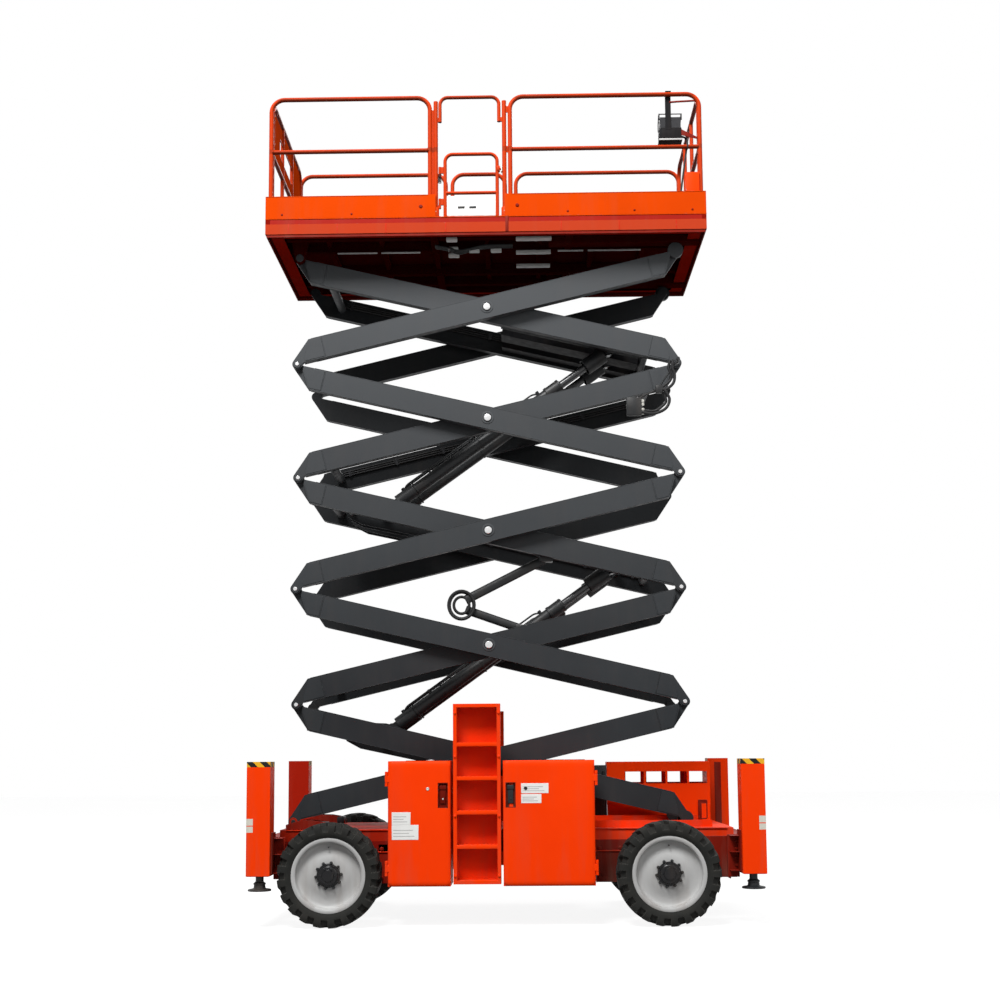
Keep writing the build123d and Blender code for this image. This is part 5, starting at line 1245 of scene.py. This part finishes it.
BOOT = [(0, 0), (.026, 0), (.027, .006), (.022, .011), (.023, .015), (.017, .020), (.018, .024),
        (.011, .030), (0, .030)]
GRIP = [(0, 0), (.009, .001), (.013, .010), (.0145, .028), (.0125, .044), (.007, .052), (0, .053)]
foot = on_panel(.020, .62)
tip = foot + OFF_PANEL * .078 + (.012, 0, 0)
lever = [turned(BOOT, foot, OFF_PANEL, 28), rod(foot + OFF_PANEL * .02, tip, .006, 14),
         turned(GRIP, tip - OFF_PANEL * .012, OFF_PANEL, 24)]
piece("control_lever", lever, moulded, "platform", 45)
RING = [(0, 0), (.022, 0), (.022, .004), (.016, .006), (0, .006)]
MUSHROOM = [(0, .004), (.009, .004), (.009, .012), (.017, .014), (.0185, .020), (.015, .026), (.006, .028),
            (0, .028)]
stop = [(*turned(shape, on_panel(-.062, .58), OFF_PANEL, 28), number)
        for number, shape in enumerate((RING, MUSHROOM))]
piece("stop_button", stop, [yellow_plastic, red_plastic], "platform", 40)
SWITCH = [(0, 0), (.0075, 0), (.0075, .002), (.005, .004), (0, .004)]
places = [on_panel(*at) for at in (
    (.066, .30), (.088, .30), (.066, .72), (.088, .72), (-.030, .25), (-.006, .25))]
switches = [turned(SWITCH, at, OFF_PANEL, 12) for at in places]
switches += [rod(at + OFF_PANEL * .003, at + OFF_PANEL * .016 + (0, 0, .004), .0022, 8) for at in places]
piece("toggle_switches", switches, zinc_steel, "platform", 40)
labels = []
for x0, x1, s0, s1 in ((-.090, -.034, .06, .16), (.052, .098, .06, .16), (-.034, .0, .44, .52)):
    a, b = on_panel(x0, s0), on_panel(x1, s1)
    raised = OFF_PANEL * .001
    labels.append(prism([p[1:] for p in (a, b, b + raised, a + raised)], a[0], b[0], 0))
piece("panel_blank_labels", labels, label_grey, "platform", 40)
GUARD_X = ((CX0 + CX1) / 2 - .101, (CX0 + CX1) / 2 + .101)
guard = [pipe([(x, CY1 - .012, CZ0 + .130), (x, CY1 - .012, CZ0 + .200), (x, CY0 + .050, CZ0 + .262),
               (x, CY0 + .014, CZ0 + .262), (x, CY0 + .014, CZ0 + .200)], .022, .005, 8, up=(1, 0, 0))
         for x in GUARD_X[::-1]]
guard += [rod(*((x, y, z) for x in GUARD_X), .005, 8)
          for y, z in ((CY1 - .020, CZ0 + .216), (CY0 + .030, CZ0 + .262))]
piece("control_guard_bars", guard, black_paint, "platform", 50)
stay_z = TOP_AXIS - .062
stays = [pipe([(PLATE_X[1] - .012, CY0 + .005, stay_z), (PLATE_X[1] + .04, CY0 - .004, stay_z),
               (LAST_POST - .014, -RAIL_LINE, stay_z)], .03, .009),
         prism([(CX1 - .008, CZ0 + .050), (LAST_POST - .012, CZ0 + .010), (LAST_POST - .012, CZ0 + .026),
                (CX1 - .008, CZ0 + .105)], CY0 + .003, CY0 + .009)]
piece("control_box_stays", stays, dark_red, "platform", 40)
cable = [(CX1 + dx, y, z) for dx, y, z in (
    (-.010, -.760, CZ0 + .055), (.020, -.765, CZ0 + .050), (.046, -.785, CZ0 + .010),
    (.040, -.806, MID_AXIS + .02), (.022, -.808, MID_AXIS - .10), (0, -.812, MID_AXIS - .25),
    (-.022, -.822, TOE_TOP + .030), (-.026, -.846, TOE_TOP - .02), (-.028, -.850, TOE_TOP - .12),
    (-.028, -.846, FLOOR_TOP + .012))]
piece("control_cable", [hose(cable, 8, .0085, 12, up=(1, .2, .1))], hose_rubber, "platform", 50)
TIE = [(.0078, -.008), (.0105, -.008), (.0112, 0), (.0105, .008), (.0078, .008), (.0078, -.008)]
RAIL_TIE = [(.0198, -.007), (.0230, -.007), (.0235, 0), (.0230, .007), (.0198, .007), (.0198, -.007)]
ties = [turned(TIE, at, (0.02, .02, 1), 16)
        for at in ((CX1 + .040, -.806, MID_AXIS), (CX1 - .027, -.849, TOE_TOP - .06))]
ties.append(turned(RAIL_TIE, (CX1 + .040, -RAIL_LINE, MID_AXIS), (1, 0, 0), 24))
ties.append(rod((CX1 - .010, -.760, CZ0 + .055), (CX1 + .008, -.762, CZ0 + .053), .013, 14))
piece("control_cable_ties", ties, moulded, "platform", 40)


# ---------------------------------------------------------------- outrigger legs, caps and feet
FOOT = [(0, 0), (.095, 0), (.0985, .003), (.0985, .012), (.093, .016), (.060, .021), (.050, .028),
        (.047, .052), (.052, .056), (.052, .066), (.040, .074), (.0345, .080), (.034, .086)]
SQUARE = np.array([(-1, -1), (1, -1), (1, 1), (-1, 1)], float)
neck = jack_low[2] - .004
for _, corner, _ in CORNERS:
    name = f"{corner}_leg"
    low, high = low_high(name)
    x, y, base = (low[0] + high[0]) / 2, (low[1] + high[1]) / 2, low[2]
    half, top = (high[0] - low[0]) / 2 - .0055, high[2] - .002
    walls = np.stack([np.insert(SQUARE * r + (x, y), 2, z, 1)
                      for r, z in ((half, neck), (half, top), (half - .010, top), (half - .010, neck))])
    plate = slab((x - half, x + half), (y - half, y + half), (neck, neck + .010))
    piece(name + "_tube", [tube(walls, True), plate], black_paint, name, 30, 0.002, stands_for=name)
    shank = neck - base + .002
    foot = turned([*FOOT, (.034, shank), (0, shank)], (x, y, base), (0, 0, 1))
    piece(name + "_foot", [foot], black_paint, name, 35)
    cap = [block((x, y, jack_high[2]), (-.092, .092), (-.092, .092), (-.0015, -.0002), .0006, 1)]
    piece(name + "_housing_cap", cap, dark_red, "chassis", 40)

# brackets under the front pins: a long wedge on each rail, with a wear block at its end
WEDGE = [(-1.935, .802), (-1.560, .802), (-1.575, .862), (-1.70, .882), (-1.80, .884), (-1.935, .845)]
wedges = [prism(WEDGE, y, y + .012) for y in (-.655, -.520)]
piece("front_pin_wedges", both(wedges), dark_red, "chassis", 30, 0.002)
rests = [pillow((-1.640, -.650, .802), (-1.570, -.500, .866), .010, 2)]
piece("front_rest_blocks", both(rests), moulded, "chassis", 40)


# ---------------------------------------------------------------- platform ends
# the sheet's outer edge lies where rays from the window's middle through its rim leave the sheet
SHEET_LOW, SHEET_HIGH = np.array((-.822, MID_AXIS + .014)), np.array((.822, TOP_AXIS - .014))
x = FIRST_POST
window = rounded_path([(x, -.43, 7.065), (x, .25, 7.065), (x, .25, 7.235), (x, -.43, 7.235)], .04, 6, True)
hole, middle = window[:, 1:], np.array((-.09, 7.15))
ray = hole - middle
share = ((np.where(ray > 0, SHEET_HIGH, SHEET_LOW) - middle) / ray).min(1)
edge = middle + ray * share[:, None]
sheet = np.stack([np.insert(line, 0, x + dx, 1)
                  for line, dx in ((hole, -.003), (edge, -.003), (edge, .003), (hole, .003))])
piece("front_infill_sheet", [tube(sheet, True)], orange_deck, "platform", 30)
piece("infill_window_edge", [swept(window, .006, 8, True, (1, 0, 0))], orange_rails, "platform", 50)
tabs = [block((x, y, z), (-.009, .009), (-.03, .03), (-.014, .014), .003)
        for y, z in product((-.6, -.2, .2, .6), (SHEET_LOW[1], SHEET_HIGH[1]))]
piece("infill_tabs", tabs, orange_rails, "platform", 40)
plates = [block(ON_FLOOR, (1.668, 1.790), y, (.02, .388), .005)
          for y in ((-OUT + .004, -OUT + .022), (OUT - .022, OUT - .004))]
piece("rear_corner_plates", plates, orange, "platform", 40)


# ---------------------------------------------------------------- engine
eng_low, eng_high = low_high("engine_block")
(EX0, EY0, _), (EX1, EY1, TOP) = eng_low, eng_high
EYM = (EY0 + EY1) / 2
fins = [slab((EX0 + .02, EX0 + .30), (EY0 - .006, EY1 + .006), (z, z + .006))
        for z in np.linspace(.50, .74, 11)]
piece("engine_fins", fins, cast_iron, "chassis", 30, 0.001)
covers = [pillow((EX0 + .03, EY0 + .05, TOP - .004), (EX0 + .40, EY1 - .05, TOP + .050), .018, 3),
          pillow((EX0 + .43, EY0 + .06, TOP - .004), (EX1 - .03, EY1 - .06, TOP + .075), .030, 4)]
piece("engine_covers", covers, black_paint, "chassis", 40)
PULLEY = [(0, 0), (.070, 0), (.074, .004), (.064, .012), (.064, .018), (.074, .026), (.070, .030),
          (.030, .030), (.028, .040), (0, .040)]
pulleys = [turned([(r * size, h) for r, h in PULLEY], (EX0 - .002, EYM + dy, z), (-1, 0, 0), steps)
           for size, dy, z, steps in ((1, 0, .52, 40), (.62, -.02, .74, 32), (.5, .11, .66, 32))]
piece("engine_pulleys", pulleys, zinc_steel, "chassis", 35)
belt = [(EX0 - .020, EYM + dy, z)
        for dy, z in ((-.088, .50), (-.030, .800), (.055, .78), (.150, .66), (.090, .45), (-.050, .44))]
piece("engine_belt", [swept(rounded_path(belt, .09, 8, True), .0065, 6, True, (1, 0, 0), 1.4)], hose_rubber,
      "chassis", 50)
CARTRIDGE = [(0, 0), (.040, 0), (.042, .004), (.042, .085), (.036, .098), (0, .100)]
filters = [turned(CARTRIDGE, (EX1 - .16, EY1 + .004, .50), (0, 1, 0), 28),
           rod((EX0 + .12, EYM, TOP + .045), (EX0 + .12, EYM, TOP + .070), .026, 20),
           rod((EX1 - .05, EY1 - .002, .62), (EX1 - .05, EY1 + .03, .62), .020, 12)]
piece("engine_filters", filters, yellow_plastic, "chassis", 40)
exhaust = [(EX1 + dx, EY1 + dy, z) for dx, dy, z in (
    (-.09, .02, .83), (-.02, .03, .86), (.03, .02, .80), (.035, -.03, .55), (.03, -.06, .42))]
piece("engine_exhaust", [hose(exhaust, 8, .021, 14, up=(0, 1, .1))], cast_iron, "chassis", 50)
lines = [hose([
    (EX0 + .10 + .05 * k, EY1 + .008, .46), (EX0 + .12 + .05 * k, EY1 + .030, .56 + .03 * k),
    (EX0 + .20 + .05 * k, EY1 + .028, .66 + .03 * k), (EX0 + .30 + .04 * k, EY1 + .006, .72 + .03 * k),
], 8, .009, 8, up=(0.1, 1, .1)) for k in range(3)]
piece("engine_lines", lines, hose_rubber, "chassis", 50)


# ---------------------------------------------------------------- inside the other lockers
WALL, BACK_Y, DOOR_Y = .0202, .7105, 1.085


def locker_space(name):
    """The clear space inside a locker: between its walls, its back and its door."""
    low, high = low_high(name)
    y0, y1 = (BACK_Y, DOOR_Y) if low[1] > 0 else (-DOOR_Y, -BACK_Y)
    return np.array((low[0] + WALL, y0, low[2] + WALL)), np.array((high[0] - WALL, y1, high[2] - WALL))


# front left: a valve block with its coils and hoses, on two brackets
COIL = [(0, 0), (.022, 0), (.024, .004), (.024, .058), (.020, .064), (0, .064)]
low, high = locker_space("front_left_locker")
middle, back = (low[0] + high[0]) / 2, low[1]
manifold, coils, runs = [block((middle, back, 0), (-.13, .13), (.13, .25), (.78, 1.00), .006)], [], []
for x in middle - .095 + .063 * np.arange(4):
    at = np.array((x, back + .19, 1.00))
    coils.append(turned(COIL, at + (0, 0, .028), (0, 0, 1), 20))
    manifold.append(rod(at, at + (0, 0, .030), .015, 6))
    for drop in (.05, .15):
        manifold.append(rod(at + (0, -.055, -drop), at + (0, -.100, -drop), .014, 6))
        start = at + (0, -.090, -drop)
        run = [start, start + (0, -.030, -.03), start + (.01, -.040, -.20), (x + .02, back + .06, .52),
               (x + .02, back + .09, low[2] + .01)]
        runs.append(hose(run, 8, .0085, 8, up=(1, 0, 0)))
brackets = [slab((x, x + .03), (back + .245, high[1]), (.80, .98)) for x in (middle - .11, middle + .08)]
piece("valve_brackets", brackets, dark_red, "chassis", 30, 0.002)
piece("valve_block", manifold, zinc_steel, "chassis", 35)
piece("valve_coils", coils, moulded, "chassis", 40)
piece("valve_hoses", runs, hose_rubber, "chassis", 50)

# rear left: the hydraulic tank under two straps, with its filler
FILLER = [(0, 0), (.052, 0), (.052, .030), (.060, .034), (.062, .060), (.054, .072), (0, .074)]
low, high = locker_space("rear_left_locker")
tank = pillow(low + (.04, .06, .001), (high[0] - .04, high[1] - .04, low[2] + .52), .035, 4)
piece("hydraulic_tank", [tank], black_paint, "chassis", 40)
y0, y1, z0, z1 = low[1] + .058, high[1] - .038, low[2] + .006, low[2] + .522
straps = []
for x in (low[0] + .16, high[0] - .16):
    round_tank = rounded_path([(x, y0, z0), (x, y1, z0), (x, y1, z1), (x, y0, z1)], .036, 6, True)
    straps.append(swept(round_tank, .006, 8, True, (1, 0, 0)))
piece("tank_straps", straps, zinc_steel, "chassis", 40)
filler = turned(FILLER, (high[0] - .20, (low[1] + high[1]) / 2, low[2] + .518), (0, 0, 1))
piece("tank_filler", [filler], moulded, "chassis", 35)

# front right: two batteries on a tray, joined by a lead
POST = [(0, 0), (.018, 0), (.018, .010), (.010, .012), (.009, .030), (0, .030)]
low, high = locker_space("front_right_locker")
base, cells = low[2], (low[0] + .03, low[0] + .255)
cases = [pillow((x, low[1] + .07, base + .32), (x + .200, high[1] - .07, base + .52), .010, 3)
         for x in cells]
tops = [pillow((x - .004, low[1] + .066, base + .508), (x + .204, high[1] - .066, base + .545), .008, 3)
        for x in cells]
posts = [turned(POST, (x + .05, y, base + .544), (0, 0, 1), 20)
         for x, y in product(cells, (low[1] + .12, high[1] - .12))]
a, b = (np.array((x + .05, low[1] + .12, base + .566)) for x in cells)
lead = hose([a, a + (.03, 0, .05), b + (-.03, 0, .05), b], 8, .009, 8, **Y_UP)
tray = slab((low[0], high[0]), (low[1] + .03, high[1] - .03), (base + .300, base + .316))
piece("battery_cases", cases, moulded, "chassis", 40)
piece("battery_tops", tops, charcoal_light, "chassis", 40)
piece("battery_posts", posts, zinc_steel, "chassis", 35)
piece("battery_lead", [lead], red_plastic, "chassis", 50)
piece("battery_tray", [tray], dark_red, "chassis", 30, 0.002)


# ---------------------------------------------------------------- floor, light and camera
# the floor is plain pale grey to lamps and shadows, and brighter only in what is seen of it
FLOOR_GREY, FLOOR_GLOW, SKY_LIGHT, FLOOR_REACH = 0.17, 0.90, 0.21, 40.0
pale = Finish("pale_floor")
pale.put("Base Color", (FLOOR_GREY,) * 3)
pale.put("Roughness", 0.9)
pale.put("Specular IOR Level", 0.1)
pale.put("Emission Color", (1, 1, 1))
pale.put("Emission Strength", pale.times(pale.seen(), FLOOR_GLOW))
mesh = bpy.data.meshes.new("studio_floor")
corners = product((-FLOOR_REACH, FLOOR_REACH), repeat=2)
mesh.from_pydata([(x, y, 0) for y, x in corners], [], skin(2, 2).tolist())
mesh.materials.append(pale.material)
studio_floor = bpy.data.objects.new("studio_floor", mesh)
bpy.context.scene.collection.objects.link(studio_floor)

# white to what is seen, dimmer as a light on the machine
world = bpy.data.worlds.new("studio")
bpy.context.scene.world = world
world.use_nodes = True
sky = Nodes(world.node_tree)
out = sky.add("OutputWorld")
background = sky.add("Background", (1, 1, 1))
sky.feed(background.inputs["Strength"], sky.span(sky.seen(), 0.0, 1.0, SKY_LIGHT, 1.0))
sky.feed(out.inputs["Surface"], background.outputs[0])


def lamp(name, place, target, size, watts):
    """A soft square lamp aimed at a point."""
    data = bpy.data.lights.new(name, "AREA")
    data.shape, data.size, data.energy = "SQUARE", size, watts
    made = bpy.data.objects.new(name, data)
    made.location = place
    made.rotation_mode = "QUATERNION"
    made.rotation_quaternion = (Vector(target) - Vector(place)).to_track_quat("-Z", "Y")
    bpy.context.scene.collection.objects.link(made)


lamp("key_lamp", (-4.0, -11.0, 17.0), (0, 0, 3.6), 6.0, 4850)
lamp("fill_lamp", (9.0, -9.5, 8.0), (0, 0, 3.0), 6.0, 480)
lamp("back_lamp", (2.0, 11.0, 12.0), (0, 0, 3.5), 7.0, 900)

EYE, YAW, PITCH, ROLL = (0.1589, -12.8865, 1.4287), 0.01624, 0.10418, -0.0072
camera = bpy.data.cameras.new("camera")
camera.lens, camera.sensor_width, camera.shift_y = 49.75, 36.0, 0.112
camera.clip_start, camera.clip_end = 0.1, 200.0
eye = bpy.data.objects.new("camera", camera)
bpy.context.scene.collection.objects.link(eye)
bpy.context.scene.camera = eye
ahead = Vector((-math.sin(YAW) * math.cos(PITCH), math.cos(YAW) * math.cos(PITCH), math.sin(PITCH)))
right = Vector((math.cos(YAW), math.sin(YAW), 0.0))
top = right.cross(ahead)
level = Matrix((right, top, -ahead)).transposed().to_4x4()
eye.matrix_world = Matrix.Translation(EYE) @ level @ Matrix.Rotation(ROLL, 4, "Z")
bpy.context.scene.view_settings.view_transform = "Standard"
